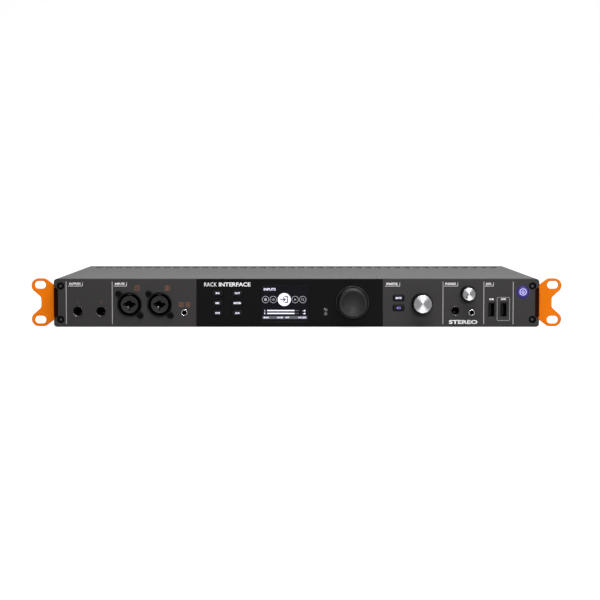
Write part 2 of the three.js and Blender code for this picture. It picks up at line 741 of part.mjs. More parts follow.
// Adds one named mesh to a group, at a place in that group's frame.
function add(group, name, made, material, x = 0, y = 0, z = 0) {
  const mesh = new THREE.Mesh(geometryOf(made), material);
  mesh.name = name;
  mesh.position.set(x, y, z);
  group.add(mesh);
}

// The front group's frame: y = 0 on the panel's face, z = 0 at its middle, +y into the chassis.
function frontGroup() {
  const group = new THREE.Group();
  group.position.set(0, PANEL_FRONT, MID_Z);
  add(group, "front_panel", frontPanel(), PANEL_GREY);
  add(group, "centre_fascia", centreFascia(), GLOSS_BLACK);
  add(group, "inner_front_plate", innerFrontPlate(), BLACK_STEEL);
  add(group, "display_window", displayWindow(), LENS);
  add(group, "display_module", displayModule(), MATTE_BLACK);
  corners.forEach(([sx, sz], i) => {
    const [x, z] = [sx * PANEL_SCREW.x, sz * PANEL_SCREW.z];
    add(group, `panel_screw_${i + 1}`, panelScrew(), BLACK_STEEL, x, 0, z);
  });
  OUTPUT_JACKS.forEach((x, i) => {
    const jack = quarterInchJack(4.8, OUTPUT_JACK_Z);
    add(group, `output_jack_${i + 1}`, jack, MATTE_BLACK, x, 0, OUTPUT_JACK_Z);
  });
  COMBO_JACKS.forEach((x, i) => {
    add(group, `combo_jack_${i + 1}`, comboJack(), MATTE_BLACK, x, 0, COMBO_Z);
  });
  comboScrewPlaces.forEach(([x, z], i) => {
    add(group, `combo_screw_${i + 1}`, comboScrew(), BLACK_STEEL, x, 0, z);
  });
  add(group, "aux_jack", miniJack(AUX_JACK.z), NICKEL, AUX_JACK.x, 0, AUX_JACK.z);
  const phonesJack = quarterInchJack(4.5, PHONES_JACK.z);
  add(group, "phones_jack", phonesJack, MATTE_BLACK, PHONES_JACK.x, 0, PHONES_JACK.z);
  const phonesMini = miniJack(PHONES_MINI.z);
  add(group, "phones_mini_jack", phonesMini, NICKEL, PHONES_MINI.x, 0, PHONES_MINI.z);
  USB_PORTS.forEach((x, i) => {
    add(group, `usb_port_${i + 1}`, usbPort(), NICKEL, x, 0, USB_Z);
  });
  add(group, "control_board", controlBoard(), CIRCUIT_GREEN);
  return group;
}

function addControls(group) {
  const boardFront = BOARD.controlBack - BOARD.thick;
  const plungerFront = boardFront - 3.4;
  const shaftEnd = plungerFront - GAP;
  add(group, "nav_encoder", rotaryBody(1), BLACK_STEEL, NAV.x, 0, NAV.z);
  add(group, "nav_knob", navKnob(), MATTE_BLACK, NAV.x, 0, NAV.z);
  add(group, "nav_shaft", rod(3, -NAV.reach + 5.2, shaftEnd), NICKEL, NAV.x, 0, NAV.z);
  const plunger = rod(2.8, plungerFront, boardFront - 1);
  add(group, "nav_plunger", plunger, MATTE_BLACK, NAV.x, 0, NAV.z);

  const { x: mx, z: mz, reach: monitorReach } = MONITOR;
  add(group, "monitor_encoder", rotaryBody(1), BLACK_STEEL, mx, 0, mz);
  add(group, "monitor_knob", cappedKnob(MONITOR), MATTE_BLACK, mx, 0, mz);
  add(group, "monitor_knob_cap", knobCap(MONITOR), KNOB_SILVER, mx, 0, mz);
  add(group, "monitor_shaft", rod(3, -monitorReach + 4.4, boardFront - 1), NICKEL, mx, 0, mz);

  const { x, z, reach } = PHONES_KNOB;
  const angle = (POINTER.angle * Math.PI) / 180;
  const [px, pz] = [POINTER.at * Math.cos(angle), POINTER.at * Math.sin(angle)];
  const dimple = rod(POINTER.radius, -reach - 1, -reach + 0.4, px, pz, 8);
  add(group, "phones_pot", rotaryBody(1), BLACK_STEEL, x, 0, z);
  add(group, "phones_knob", cappedKnob(PHONES_KNOB), MATTE_BLACK, x, 0, z);
  add(group, "phones_knob_cap", cut(knobCap(PHONES_KNOB), dimple), KNOB_SILVER, x, 0, z);
  add(group, "phones_shaft", rod(3, -reach + 4.4, boardFront - 1), NICKEL, x, 0, z);

  modeButtonPlaces.forEach(([bx, bz], i) => {
    add(group, `mode_button_${i + 1}`, barButton(), MATTE_BLACK, bx, 0, bz);
  });
  const [muteZ, speakerZ] = SIDE_BUTTONS.rows;
  add(group, "mute_button", barButton(), MATTE_BLACK, SIDE_BUTTONS.x, 0, muteZ);
  add(group, "speaker_button", barButton(), MATTE_BLACK, SIDE_BUTTONS.x, 0, speakerZ);
  const backButton = roundButton(BACK_BUTTON.radius);
  add(group, "back_button", backButton, MATTE_BLACK, BACK_BUTTON.x, 0, BACK_BUTTON.z);
  const powerButton = roundButton(POWER_BUTTON.radius);
  add(group, "power_button", powerButton, MATTE_BLACK, POWER_BUTTON.x, 0, POWER_BUTTON.z);
}

function chassisGroup() {
  const group = new THREE.Group();
  add(group, "bottom_tray", bottomTray(), COVER_GREY);
  add(group, "top_cover", topCover(), COVER_GREY);
  add(group, "main_board", mainBoard(), CIRCUIT_GREEN);
  const earY = -CHASSIS.depth / 2 + 2 * GAP;
  add(group, "left_rack_ear", rackEar(-1), EAR_ORANGE, 0, earY, MID_Z);
  add(group, "right_rack_ear", rackEar(1), EAR_ORANGE, 0, earY, MID_Z);
  earScrewY.forEach((y, i) => {
    add(group, `left_ear_screw_${i + 1}`, earScrew(-1), BLACK_STEEL, 0, y, MID_Z);
    add(group, `right_ear_screw_${i + 1}`, earScrew(1), BLACK_STEEL, 0, y, MID_Z);
  });
  return group;
}

// The rear group is turned to face +Y: its y = 0 is the rear face, and +y goes into the chassis.
function rearGroup() {
  const group = new THREE.Group();
  group.position.set(0, CHASSIS.depth / 2, MID_Z);
  group.rotation.z = Math.PI;
  add(group, "rear_panel", rearPanel(), COVER_GREY);
  add(group, "rear_line_jacks", lineJackBank(), MATTE_BLACK);
  add(group, "optical_ports", opticalBank(), MATTE_BLACK);
  add(group, "word_clock_sockets", clockPair(), NICKEL);
  add(group, "usb_c_port", usbCPort(), NICKEL);
  add(group, "power_inlet", powerInlet(), MATTE_BLACK);
  return group;
}

const audioInterface = new THREE.Group();
const front = frontGroup();
addControls(front);
audioInterface.add(front, chassisGroup(), rearGroup());

export default audioInterface;
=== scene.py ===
"""The looks of a one-unit rack audio interface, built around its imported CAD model.

Shapes are drawn in millimetres in a flat place of their own, (u, v) across the face that shows
and w from that face into the material, and a placing matrix takes them to the frame in metres.
"""

import math

import bmesh
import bpy
from mathutils import Matrix, Vector


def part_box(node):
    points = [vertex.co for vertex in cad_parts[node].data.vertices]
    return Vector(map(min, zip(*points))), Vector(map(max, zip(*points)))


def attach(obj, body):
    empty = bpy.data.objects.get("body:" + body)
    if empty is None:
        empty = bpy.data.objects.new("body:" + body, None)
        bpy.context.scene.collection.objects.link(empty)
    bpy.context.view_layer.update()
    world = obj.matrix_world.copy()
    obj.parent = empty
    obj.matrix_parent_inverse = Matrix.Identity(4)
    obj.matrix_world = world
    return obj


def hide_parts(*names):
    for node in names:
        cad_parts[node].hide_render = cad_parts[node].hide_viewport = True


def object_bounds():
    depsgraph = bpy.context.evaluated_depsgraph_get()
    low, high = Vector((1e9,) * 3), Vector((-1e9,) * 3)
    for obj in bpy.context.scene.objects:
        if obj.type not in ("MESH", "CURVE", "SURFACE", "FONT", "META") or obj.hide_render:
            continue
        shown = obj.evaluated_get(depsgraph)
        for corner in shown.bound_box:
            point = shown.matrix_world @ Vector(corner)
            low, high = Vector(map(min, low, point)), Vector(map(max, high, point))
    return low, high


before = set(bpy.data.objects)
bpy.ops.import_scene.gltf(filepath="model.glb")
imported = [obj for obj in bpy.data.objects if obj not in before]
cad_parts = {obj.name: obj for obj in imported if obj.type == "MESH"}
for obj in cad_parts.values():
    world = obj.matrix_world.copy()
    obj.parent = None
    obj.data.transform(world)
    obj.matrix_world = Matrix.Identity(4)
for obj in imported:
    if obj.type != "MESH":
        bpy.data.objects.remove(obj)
cad_low, cad_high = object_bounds()

MM = 0.001
CHASSIS = "chassis"  # the fixed body
X, Y, Z = Vector((1, 0, 0)), Vector((0, 1, 0)), Vector((0, 0, 1))

# ---------------------------------------------------------------- places


def place(origin, u, v, w):
    """The matrix from (u, v, w) in millimetres to the frame in metres."""
    matrix = Matrix((u * MM, v * MM, w * MM)).transposed().to_4x4()
    matrix.translation = Vector(origin)
    return matrix


panel_low, panel_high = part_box("front_panel")
cover_low, cover_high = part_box("top_cover")
_, rear_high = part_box("rear_panel")
FACE_Y = panel_low.y
MID_Z = (panel_low.z + panel_high.z) / 2
FRONT = place((0, FACE_Y, MID_Z), X, Z, Y)
REAR = place((0, rear_high.y, MID_Z), -X, Z, -Y)
TOP = place((0, 0, cover_high.z), X, Y, -Z)
UNDERSIDE = place((0, 0, cad_low.z), X, -Y, Z)


def extent(node):
    """(left, right, bottom, top) of a node in the front's plane, in millimetres."""
    low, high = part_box(node)
    return low.x / MM, high.x / MM, (low.z - MID_Z) / MM, (high.z - MID_Z) / MM


def middle(node):
    left, right, bottom, top = extent(node)
    return Vector(((left + right) / 2, (bottom + top) / 2))


def depths(node):
    """(front, back) of a node behind the front panel's face, in millimetres."""
    low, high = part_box(node)
    return (low.y - FACE_Y) / MM, (high.y - FACE_Y) / MM


def below_top(node, drop):
    """The axis of a socket whose housing reaches drop millimetres above it."""
    _, _, _, top = extent(node)
    return Vector((middle(node).x, top - drop))


def moved(matrix, point, w=0.0):
    return matrix @ Matrix.Translation((point[0], point[1], w))


def side_place(side, x):
    """The place of a face at x that looks out to one side: u runs to the rear and v runs up."""
    return place((side * x, 0, MID_Z), Y, Z, -side * X)


PANEL_HALF_WIDTH = (panel_high.x - panel_low.x) / 2 / MM
PANEL_HALF_HEIGHT = (panel_high.z - panel_low.z) / 2 / MM
PANEL_THICK = (panel_high.y - panel_low.y) / MM
HOUSING_ABOVE_JACK = 6.0
HOUSING_ABOVE_MINI = 3.8
JACK_NOSE = {"output_jack_1": 4.7, "output_jack_2": 4.7, "phones_jack": 4.1}
jack_at = {n: below_top(n, HOUSING_ABOVE_JACK) for n in JACK_NOSE}
mini_at = {n: below_top(n, HOUSING_ABOVE_MINI) for n in ("aux_jack", "phones_mini_jack")}
combo_at = {n: middle(n) for n in ("combo_jack_1", "combo_jack_2")}
knob_at = {n: middle(n) for n in ("nav_knob", "monitor_knob", "phones_knob")}
bar_buttons = [f"mode_button_{i}" for i in range(1, 7)] + ["mute_button", "speaker_button"]
button_at = {n: middle(n) for n in bar_buttons + ["back_button", "power_button"]}
usb_at = {n: middle(n) for n in ("usb_port_1", "usb_port_2")}
panel_screws = [f"panel_screw_{i}" for i in range(1, 5)]
combo_screws = [f"combo_screw_{i}" for i in range(1, 5)]
FASCIA_LEFT, FASCIA_RIGHT, _, _ = extent("centre_fascia")
FASCIA_THICK = depths("centre_fascia")[1]

# ---------------------------------------------------------------- flat outlines


def arc(u, v, radius, start, end, steps):
    """Points on an arc, angles in degrees, both ends included."""
    points = []
    for i in range(steps + 1):
        angle = math.radians(start + (end - start) * i / steps)
        points.append(Vector((u + radius * math.cos(angle), v + radius * math.sin(angle))))
    return points


def circle(centre, radius, steps=48):
    return arc(centre[0], centre[1], radius, 0, 360 * (1 - 1 / steps), steps - 1)


def rounded_rect(centre, width, height, radius, steps=5):
    points = []
    for i, (su, sv) in enumerate(((1, 1), (-1, 1), (-1, -1), (1, -1))):
        u = centre[0] + su * (width / 2 - radius)
        v = centre[1] + sv * (height / 2 - radius)
        points += arc(u, v, radius, 90 * i, 90 * (i + 1), steps)
    return points


def area(loop):
    return sum(a.x * b.y - b.x * a.y for a, b in zip(loop, loop[1:] + loop[:1])) / 2


def turning(loop, left):
    """The loop, running so that its inside is on its left, or on its right."""
    return list(loop) if (area(loop) > 0) == left else list(reversed(loop))


def shifted(loop, distance):
    """A closed loop moved to its left by distance, with mitred corners."""
    result = []
    for i, point in enumerate(loop):
        before = (point - loop[i - 1]).normalized()
        after = (loop[(i + 1) % len(loop)] - point).normalized()
        normals = Vector((-before.y - after.y, before.x + after.x))
        result.append(point + normals * (distance / (1 + before.dot(after))))
    return result


def soften(profile, radius, steps=3):
    """An open profile with each corner between its ends rounded."""
    points = [Vector(p) for p in profile]
    result = [points[0]]
    for a, b, c in zip(points, points[1:], points[2:]):
        reach = min(radius, (a - b).length * 0.45, (c - b).length * 0.45)
        p = b + (a - b).normalized() * reach
        q = b + (c - b).normalized() * reach
        for i in range(steps + 1):
            t = i / steps
            result.append(p * (1 - t) ** 2 + b * (2 * t * (1 - t)) + q * t**2)
    return result + [points[-1]]


# ---------------------------------------------------------------- solids


def add_plate(bm, outline, holes, front, back, rim=0.0, steps=3):
    """A flat plate between w = front and w = back, its front edges rounded to a radius of rim."""
    loops = [turning(outline, True)] + [turning(h, False) for h in holes]
    levels = [(0.0, back)]
    if rim > 0:
        for i in range(steps + 1):
            angle = math.pi / 2 * i / steps
            levels.append((rim * (1 - math.cos(angle)), front + rim * (1 - math.sin(angle))))
    else:
        levels.append((0.0, front))
    face_edges, back_edges = [], []
    for loop in loops:
        rings = []
        for inset, w in levels:
            points = shifted(loop, inset) if inset > 0 else loop
            rings.append([bm.verts.new((p.x, p.y, w)) for p in points])
        for lower, upper in zip(rings, rings[1:]):
            for i in range(len(lower)):
                j = (i + 1) % len(lower)
                bm.faces.new((lower[i], lower[j], upper[j], upper[i]))
        for ring, edges in ((rings[0], back_edges), (rings[-1], face_edges)):
            for i in range(len(ring)):
                edges.append(bm.edges.get((ring[i], ring[(i + 1) % len(ring)])))
    for edges in (face_edges, back_edges):
        bmesh.ops.triangle_fill(bm, edges=edges, use_beauty=True)


def add_turned(bm, profile, sides=64, closed=False, centre=(0, 0)):
    """A piece turned about the w axis. The profile's points are (radius, w)."""
    rings = []
    for radius, w in profile:
        if radius < 1e-6:
            rings.append([bm.verts.new((centre[0], centre[1], w))])
            continue
        points = circle(centre, radius, sides)
        rings.append([bm.verts.new((p.x, p.y, w)) for p in points])
    pairs = list(zip(rings, rings[1:]))
    if closed:
        pairs.append((rings[-1], rings[0]))
    for a, b in pairs:
        for i in range(sides):
            j = (i + 1) % sides
            corners = [a[i % len(a)], a[j % len(a)], b[j % len(b)], b[i % len(b)]]
            unique = list(dict.fromkeys(corners))
            if len(unique) > 2:
                bm.faces.new(unique)


def add_tube(bm, outer, inner, front, back, rim, sides=64, centre=(0, 0)):
    """A ring with a rounded front edge inside and out."""
    profile = [(inner, back), (inner, front), (outer, front), (outer, back)]
    add_turned(bm, soften(profile, rim), sides, closed=True, centre=centre)


def add_pin(bm, radius, front, back, sides, centre=(0, 0)):
    """A plain cylinder between w = front and w = back."""
    add_turned(bm, [(0, front), (radius, front), (radius, back), (0, back)], sides, centre=centre)


def plate(outline, holes, front, back, rim=0.0, steps=3):
    """A new mesh holding one plate."""
    bm = bmesh.new()
    add_plate(bm, outline, holes, front, back, rim, steps)
    return bm


def turned(profile, rim=None, sides=64, closed=False, steps=3):
    """A new mesh holding one turned piece, the corners of its profile rounded by rim."""
    bm = bmesh.new()
    add_turned(bm, soften(profile, rim, steps) if rim else profile, sides, closed)
    return bm


def tube(outer, inner, front, back, rim, sides=64, centre=(0, 0)):
    """A new mesh holding one ring."""
    bm = bmesh.new()
    add_tube(bm, outer, inner, front, back, rim, sides, centre)
    return bm


def pin(radius, front, back, sides, centre=(0, 0)):
    """A new mesh holding one cylinder."""
    bm = bmesh.new()
    add_pin(bm, radius, front, back, sides, centre)
    return bm


def piece(name, bm, matrix, material, body=CHASSIS, stands_for=(), crisp=35):
    """Makes one named object from a mesh drawn in a place, and ties it to its body."""
    bm.transform(matrix)
    bmesh.ops.recalc_face_normals(bm, faces=bm.faces)
    mesh = bpy.data.meshes.new(name)
    bm.to_mesh(mesh)
    bm.free()
    for polygon in mesh.polygons:
        polygon.use_smooth = True
    mesh.set_sharp_from_angle(angle=math.radians(crisp))
    materials = material if isinstance(material, (list, tuple)) else [material]
    for m in materials:
        mesh.materials.append(m)
    obj = bpy.data.objects.new(name, mesh)
    bpy.context.scene.collection.objects.link(obj)
    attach(obj, body)
    if stands_for:
        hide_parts(*stands_for)
    shading = obj.modifiers.new("even_shading", "WEIGHTED_NORMAL")
    shading.keep_sharp = True
    return obj


def combined(first, second, operation):
    """The union or difference of two drawn meshes, as a new drawn mesh."""
    objects = []
    for bm in (first, second):
        bmesh.ops.recalc_face_normals(bm, faces=bm.faces)
        mesh = bpy.data.meshes.new("operand")
        bm.to_mesh(mesh)
        bm.free()
        obj = bpy.data.objects.new("operand", mesh)
        bpy.context.scene.collection.objects.link(obj)
        objects.append(obj)
    modifier = objects[0].modifiers.new("boolean", "BOOLEAN")
    modifier.operation = operation
    modifier.solver = "EXACT"
    modifier.object = objects[1]
    depsgraph = bpy.context.evaluated_depsgraph_get()
    result = bmesh.new()
    result.from_mesh(bpy.data.meshes.new_from_object(objects[0].evaluated_get(depsgraph)))
    for obj in objects:
        bpy.data.objects.remove(obj)
    return result


# ---------------------------------------------------------------- materials


class Shader:
    """A material and short ways to add nodes to it."""

    def __init__(self, name):
        self.material = bpy.data.materials.new(name)
        self.material.use_nodes = True
        self.tree = self.material.node_tree
        self.surface = self.tree.nodes["Principled BSDF"]
        self.place = self.node("ShaderNodeTexCoord").outputs["Object"]

    def node(self, kind, settings=None, **inputs):
        node = self.tree.nodes.new(kind)
        for key, value in (settings or {}).items():
            setattr(node, key, value)
        for key, value in inputs.items():
            self.set(node.inputs[key.replace("_", " ")], value)
        return node

    def set(self, socket, value):
        if isinstance(value, bpy.types.NodeSocket):
            self.tree.links.new(value, socket)
        else:
            socket.default_value = value

    def noise(self, size, detail=3.0, stretch=(1, 1, 1)):
        """Noise whose features are about size millimetres across."""
        mapping = self.node("ShaderNodeMapping", Vector=self.place)
        mapping.inputs["Scale"].default_value = [s / (size * MM) for s in stretch]
        node = self.node("ShaderNodeTexNoise", Vector=mapping.outputs["Vector"], Scale=1.0)
        node.inputs["Detail"].default_value = detail
        return node.outputs["Fac"]

    def spread(self, value, low, high, start=0.3, end=0.7):
        """Remaps a 0 to 1 value to low to high."""
        node = self.node("ShaderNodeMapRange", Value=value)
        node.inputs["From Min"].default_value = start
        node.inputs["From Max"].default_value = end
        node.inputs["To Min"].default_value = low
        node.inputs["To Max"].default_value = high
        return node.outputs["Result"]

    def mix(self, share, a, b):
        node = self.node("ShaderNodeMix", {"data_type": "RGBA"})
        self.set(node.inputs[0], share)
        self.set(node.inputs[6], a)
        self.set(node.inputs[7], b)
        return node.outputs[2]

    def bump(self, height, depth, strength):
        """A bump of depth millimetres where height goes from 0 to 1."""
        node = self.node("ShaderNodeBump", Height=height, Strength=strength, Distance=depth * MM)
        return node.outputs["Normal"]

    def product(self, a, b):
        node = self.node("ShaderNodeMath", {"operation": "MULTIPLY"})
        self.set(node.inputs[0], a)
        self.set(node.inputs[1], b)
        return node.outputs[0]

    def vector(self, operation, *values):
        node = self.node("ShaderNodeVectorMath", {"operation": operation})
        for socket, value in zip(node.inputs, values):
            self.set(socket, value)
        return node

    def from_axis(self, node):
        """The way outwards from a front control's axis, in the plane of the front."""
        low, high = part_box(node)
        offset = self.vector("SUBTRACT", self.place, (low + high) / 2).outputs[0]
        return self.vector("MULTIPLY", offset, (1, 0, 1)).outputs[0]

    def length(self, value):
        return self.vector("LENGTH", value).outputs["Value"]

    def edges(self):
        """1 along convex edges, 0 on flat faces."""
        pointiness = self.node("ShaderNodeNewGeometry").outputs["Pointiness"]
        return self.spread(pointiness, 0.0, 1.0, 0.52, 0.58)

    def finish(self, **inputs):
        for key, value in inputs.items():
            self.set(self.surface.inputs[key.replace("_", " ")], value)
        return self.material


def srgb(r, g, b):
    """A colour given in sRGB 0 to 255, as the linear values a shader takes."""
    def linear(c):
        c /= 255
        return c / 12.92 if c <= 0.04045 else ((c + 0.055) / 1.055) ** 2.4
    return (linear(r), linear(g), linear(b), 1.0)


def scaled(color, factor):
    return tuple(min(c * factor, 1.0) for c in color[:3]) + (1.0,)


def painted(name, color, roughness, specular, grain=0.35, depth=0.012, wear=1.35, lit_by=None):
    """Powder coat or textured paint: fine grain, faint clouding, and paler edges.
    lit_by names a lit button whose violet light spills over the paint round it."""
    s = Shader(name)
    cloud = s.spread(s.noise(28), 0.0, 1.0)
    base = s.mix(cloud, scaled(color, 0.94), scaled(color, 1.06))
    fine = s.noise(grain, 2.0)
    base = s.mix(s.spread(fine, 0.0, 0.5), base, scaled(color, 1.25))
    base = s.mix(s.edges(), base, scaled(color, wear))
    rough = s.spread(s.noise(9), roughness - 0.02, roughness + 0.03)
    normal = s.bump(fine, depth, 0.6)
    if lit_by:
        reach = s.spread(s.length(s.from_axis(lit_by)), 1.0, 0.0, HALO_START * MM, HALO_END * MM)
        halo = s.product(s.product(reach, reach), HALO_STRENGTH)
        s.finish(Emission_Color=VIOLET, Emission_Strength=halo)
    return s.finish(Base_Color=base, Roughness=rough, Normal=normal, Specular_IOR_Level=specular)


def moulded(name, color, roughness, specular=0.4, grain=0.18):
    """Moulded plastic: a very fine spark-eroded texture and a little handling shine."""
    s = Shader(name)
    fine = s.noise(grain, 1.0)
    base = s.mix(s.spread(fine, 0.0, 0.6), scaled(color, 0.88), scaled(color, 1.15))
    base = s.mix(s.edges(), base, scaled(color, 1.6))
    rough = s.spread(s.noise(5), roughness - 0.07, roughness + 0.07)
    normal = s.bump(fine, 0.006, 0.5)
    return s.finish(Base_Color=base, Roughness=rough, Normal=normal, Specular_IOR_Level=specular)


def polished(name, color, roughness, specular):
    """Polished acrylic, with faint smears and a slight waviness."""
    s = Shader(name)
    smear = s.spread(s.noise(14, 4.0, (1, 1, 2.5)), roughness, roughness + 0.08, 0.45, 0.75)
    base = s.mix(s.spread(s.noise(22), 0.0, 1.0), scaled(color, 0.95), scaled(color, 1.05))
    waves = s.bump(s.noise(40, 1.0), 0.02, 0.3)
    return s.finish(Base_Color=base, Roughness=smear, Normal=waves, Specular_IOR_Level=specular)


def metal(name, color, roughness):
    """Plated or bare metal, with fine marks of handling and working."""
    s = Shader(name)
    marks = s.noise(0.6)
    base = s.mix(s.spread(s.noise(6), 0.0, 1.0), scaled(color, 0.92), color)
    rough = s.spread(marks, roughness - 0.08, roughness + 0.1)
    normal = s.bump(marks, 0.004, 0.4)
    return s.finish(Base_Color=base, Metallic=1.0, Roughness=rough, Normal=normal)


def spun_metal(name, node, color):
    """Aluminium turned on a lathe: rings round the knob's axis, and a highlight that fans out."""
    s = Shader(name)
    outwards = s.from_axis(node)
    noise = s.node("ShaderNodeTexNoise", {"noise_dimensions": "1D"}, Scale=1 / (0.12 * MM), Detail=2.0)
    s.set(noise.inputs["W"], s.length(outwards))
    rings = noise.outputs["Fac"]
    base = s.mix(s.spread(rings, 0.0, 1.0), scaled(color, 0.82), color)
    return s.finish(
        Base_Color=base, Metallic=1.0, Roughness=s.spread(rings, 0.24, 0.38), Anisotropic=0.9,
        Tangent=outwards, Normal=s.bump(rings, 0.008, 0.3),
    )


def glowing(name, color, strength):
    """A backlit print or a lit pixel area, a little uneven as real backlights are."""
    s = Shader(name)
    level = s.spread(s.noise(1.6, 1.0), strength * 0.85, strength * 1.1)
    return s.finish(
        Base_Color=scaled(color, 0.5), Roughness=0.4, Emission_Color=color, Emission_Strength=level
    )


def printed(name, color):
    """Screen-printed ink, slightly broken up at its edges."""
    s = Shader(name)
    base = s.mix(s.spread(s.noise(0.25, 2.0), 0.0, 0.35), color, scaled(color, 0.75))
    return s.finish(Base_Color=base, Roughness=s.spread(s.noise(0.5), 0.5, 0.65))


def circuit_board(name):
    """Green solder mask over copper tracks, with tinned pads."""
    s = Shader(name)
    black, white = (0, 0, 0, 1), (1, 1, 1, 1)
    tracks = s.node("ShaderNodeTexBrick", Vector=s.place, Scale=1 / (6 * MM), Mortar_Size=0.035,
                    Color1=black, Color2=black, Mortar=white)
    pads = s.node("ShaderNodeTexVoronoi", Vector=s.place, Scale=1 / (3.2 * MM))
    pad = s.spread(pads.outputs["Distance"], 1.0, 0.0, 0.12, 0.16)
    base = s.mix(tracks.outputs["Color"], srgb(18, 74, 46), srgb(34, 104, 66))
    base = s.mix(pad, base, srgb(190, 186, 176))
    normal = s.bump(tracks.outputs["Color"], 0.03, 0.5)
    return s.finish(Base_Color=base, Roughness=0.35, Metallic=pad, Normal=normal)


def to_camera(tree, seen, thrown):
    """A strength that is one value to the camera and another to everything else."""
    path = tree.nodes.new("ShaderNodeLightPath")
    share = tree.nodes.new("ShaderNodeMapRange")
    share.inputs["To Min"].default_value = thrown
    share.inputs["To Max"].default_value = seen
    tree.links.new(path.outputs["Is Camera Ray"], share.inputs["Value"])
    return share.outputs["Result"]


def studio(name, color, seen, thrown):
    """The plain floor and backdrop, bright to the camera and dimmer as a light."""
    s = Shader(name)
    tone = s.mix(s.spread(s.noise(300, 1.0), 0.0, 1.0), color, scaled(color, 0.985))
    return s.finish(
        Base_Color=tone, Roughness=0.85, Specular_IOR_Level=0.1,
        Emission_Color=(1, 1, 1, 1), Emission_Strength=to_camera(s.tree, seen, thrown),
    )


VIOLET = srgb(70, 44, 214)
HALO_START, HALO_END, HALO_STRENGTH = 4.4, 7.8, 0.32

PANEL_PAINT = painted("panel_paint", srgb(42, 40, 40), 0.5, 0.2, lit_by="power_button")
COVER_PAINT = painted("cover_paint", srgb(88, 87, 88), 0.5, 0.35, grain=0.5)
EAR_PAINT = painted("ear_powder_coat", srgb(212, 106, 0), 0.5, 0.06, 0.7, 0.03, 1.08)
# Dark red-brown painted shade for the ear notches: the orange ear as it looks in deep shadow behind them.
PAINTED_NOTCH_SHADE = painted("notch_painted_shade", srgb(30, 6, 2), 0.6, 0.05, wear=1.1)
BLACK_STEEL = painted("black_oxide", srgb(16, 15, 15), 0.4, 0.35, 0.25, 0.006, 1.8)
SCREW_BLACK = painted("screw_black", srgb(3, 3, 3), 0.6, 0.06, 0.25, 0.006, 1.6)
# Grey for a disc set in each screw's hex socket: a painted glint.
SOCKET_GLINT_GREY = moulded("socket_painted_glint", srgb(46, 45, 48), 0.4)
GLOSS_BLACK = polished("gloss_acrylic", srgb(11, 9, 11), 0.09, 0.1)
LENS_BLACK = polished("display_lens", srgb(12, 12, 18), 0.06, 0.1)
CAP_BLACK = moulded("button_plastic", srgb(11, 10, 12), 0.4, 0.12)
KNOB_BLACK = moulded("knob_plastic", srgb(11, 10, 11), 0.48, 0.32, 0.22)
SKIRT_BLACK = moulded("skirt_plastic", srgb(4, 4, 4), 0.4, 0.12, 0.22)
FLANGE_BLACK = moulded("flange_plastic", srgb(7, 6, 7), 0.5, 0.12)
JACK_BLACK = moulded("jack_plastic", srgb(15, 14, 14), 0.4, 0.3)
# Near-black painted shade for the insides of bores, grooves, recesses and counterbores, darker than the
# black plastic round them.
HOLE_SHADE_BLACK = moulded("hole_painted_shade", srgb(2, 2, 2), 0.7, 0.05)
INSERT_GREY = moulded("insert_plastic", srgb(32, 30, 31), 0.5, 0.2)
# Pale grey for the thin ring round the menu knob's well: a painted highlight on the well's edge.
WELL_RING_HIGHLIGHT = moulded("well_ring_painted_highlight", srgb(62, 60, 62), 0.35)
LABEL_GREY = moulded("small_button_plastic", srgb(74, 73, 76), 0.4)
PORT_BLACK = moulded("port_plastic", srgb(5, 5, 6), 0.55, 0.1)
NICKEL = metal("nickel_plate", srgb(196, 196, 194), 0.26)
CHROME = metal("jack_ring_plate", srgb(222, 222, 220), 0.18)
DARK_NICKEL = metal("dark_plate", srgb(72, 72, 76), 0.38)
GOLD = metal("gold_contacts", srgb(214, 170, 92), 0.3)
SPRING_STEEL = metal("spring_steel", srgb(150, 146, 140), 0.3)
TEFLON = moulded("socket_insulator", srgb(206, 204, 198), 0.5)
WHITE_PRINT = printed("white_ink", srgb(236, 234, 236))
GREY_PRINT = printed("grey_ink", srgb(150, 147, 149))
WHITE_GLOW = glowing("white_backlight", srgb(226, 225, 246), 0.9)
SCREEN_GREY = glowing("screen_grey", srgb(150, 150, 160), 0.75)
SCREEN_STRIP = glowing("screen_strip", srgb(72, 72, 82), 0.8)
ORANGE_GLOW = glowing("orange_backlight", srgb(134, 74, 36), 0.6)
DIM_ORANGE = glowing("dim_orange_backlight", srgb(104, 54, 34), 0.6)
VIOLET_GLOW = glowing("violet_backlight", srgb(196, 190, 250), 1.0)
DIM_VIOLET = glowing("dim_violet_backlight", srgb(128, 112, 220), 0.8)
BOARD_GREEN = circuit_board("solder_mask")

# ---------------------------------------------------------------- flat prints and lit marks

PRINT_LIFT = 0.03


def text_mesh(text, cap, weight):
    """Letters as a mesh, centred on the origin, their capitals cap millimetres tall."""
    curve = bpy.data.curves.new("letters", "FONT")
    curve.body = text
    curve.size = cap
    curve.extrude = PRINT_LIFT
    curve.resolution_u = 3
    curve.offset = weight
    obj = bpy.data.objects.new("letters", curve)
    bpy.context.scene.collection.objects.link(obj)
    depsgraph = bpy.context.evaluated_depsgraph_get()
    mesh = bpy.data.meshes.new_from_object(obj.evaluated_get(depsgraph))
    bpy.data.objects.remove(obj)
    us = [v.co.x for v in mesh.vertices]
    vs = [v.co.y for v in mesh.vertices]
    scale = cap / (max(vs) - min(vs))
    centre = Vector(((max(us) + min(us)) / 2, (max(vs) + min(vs)) / 2, 0))
    mesh.transform(Matrix.Diagonal((scale, scale, 1, 1)) @ Matrix.Translation(-centre))
    return mesh, (max(us) - min(us)) * scale


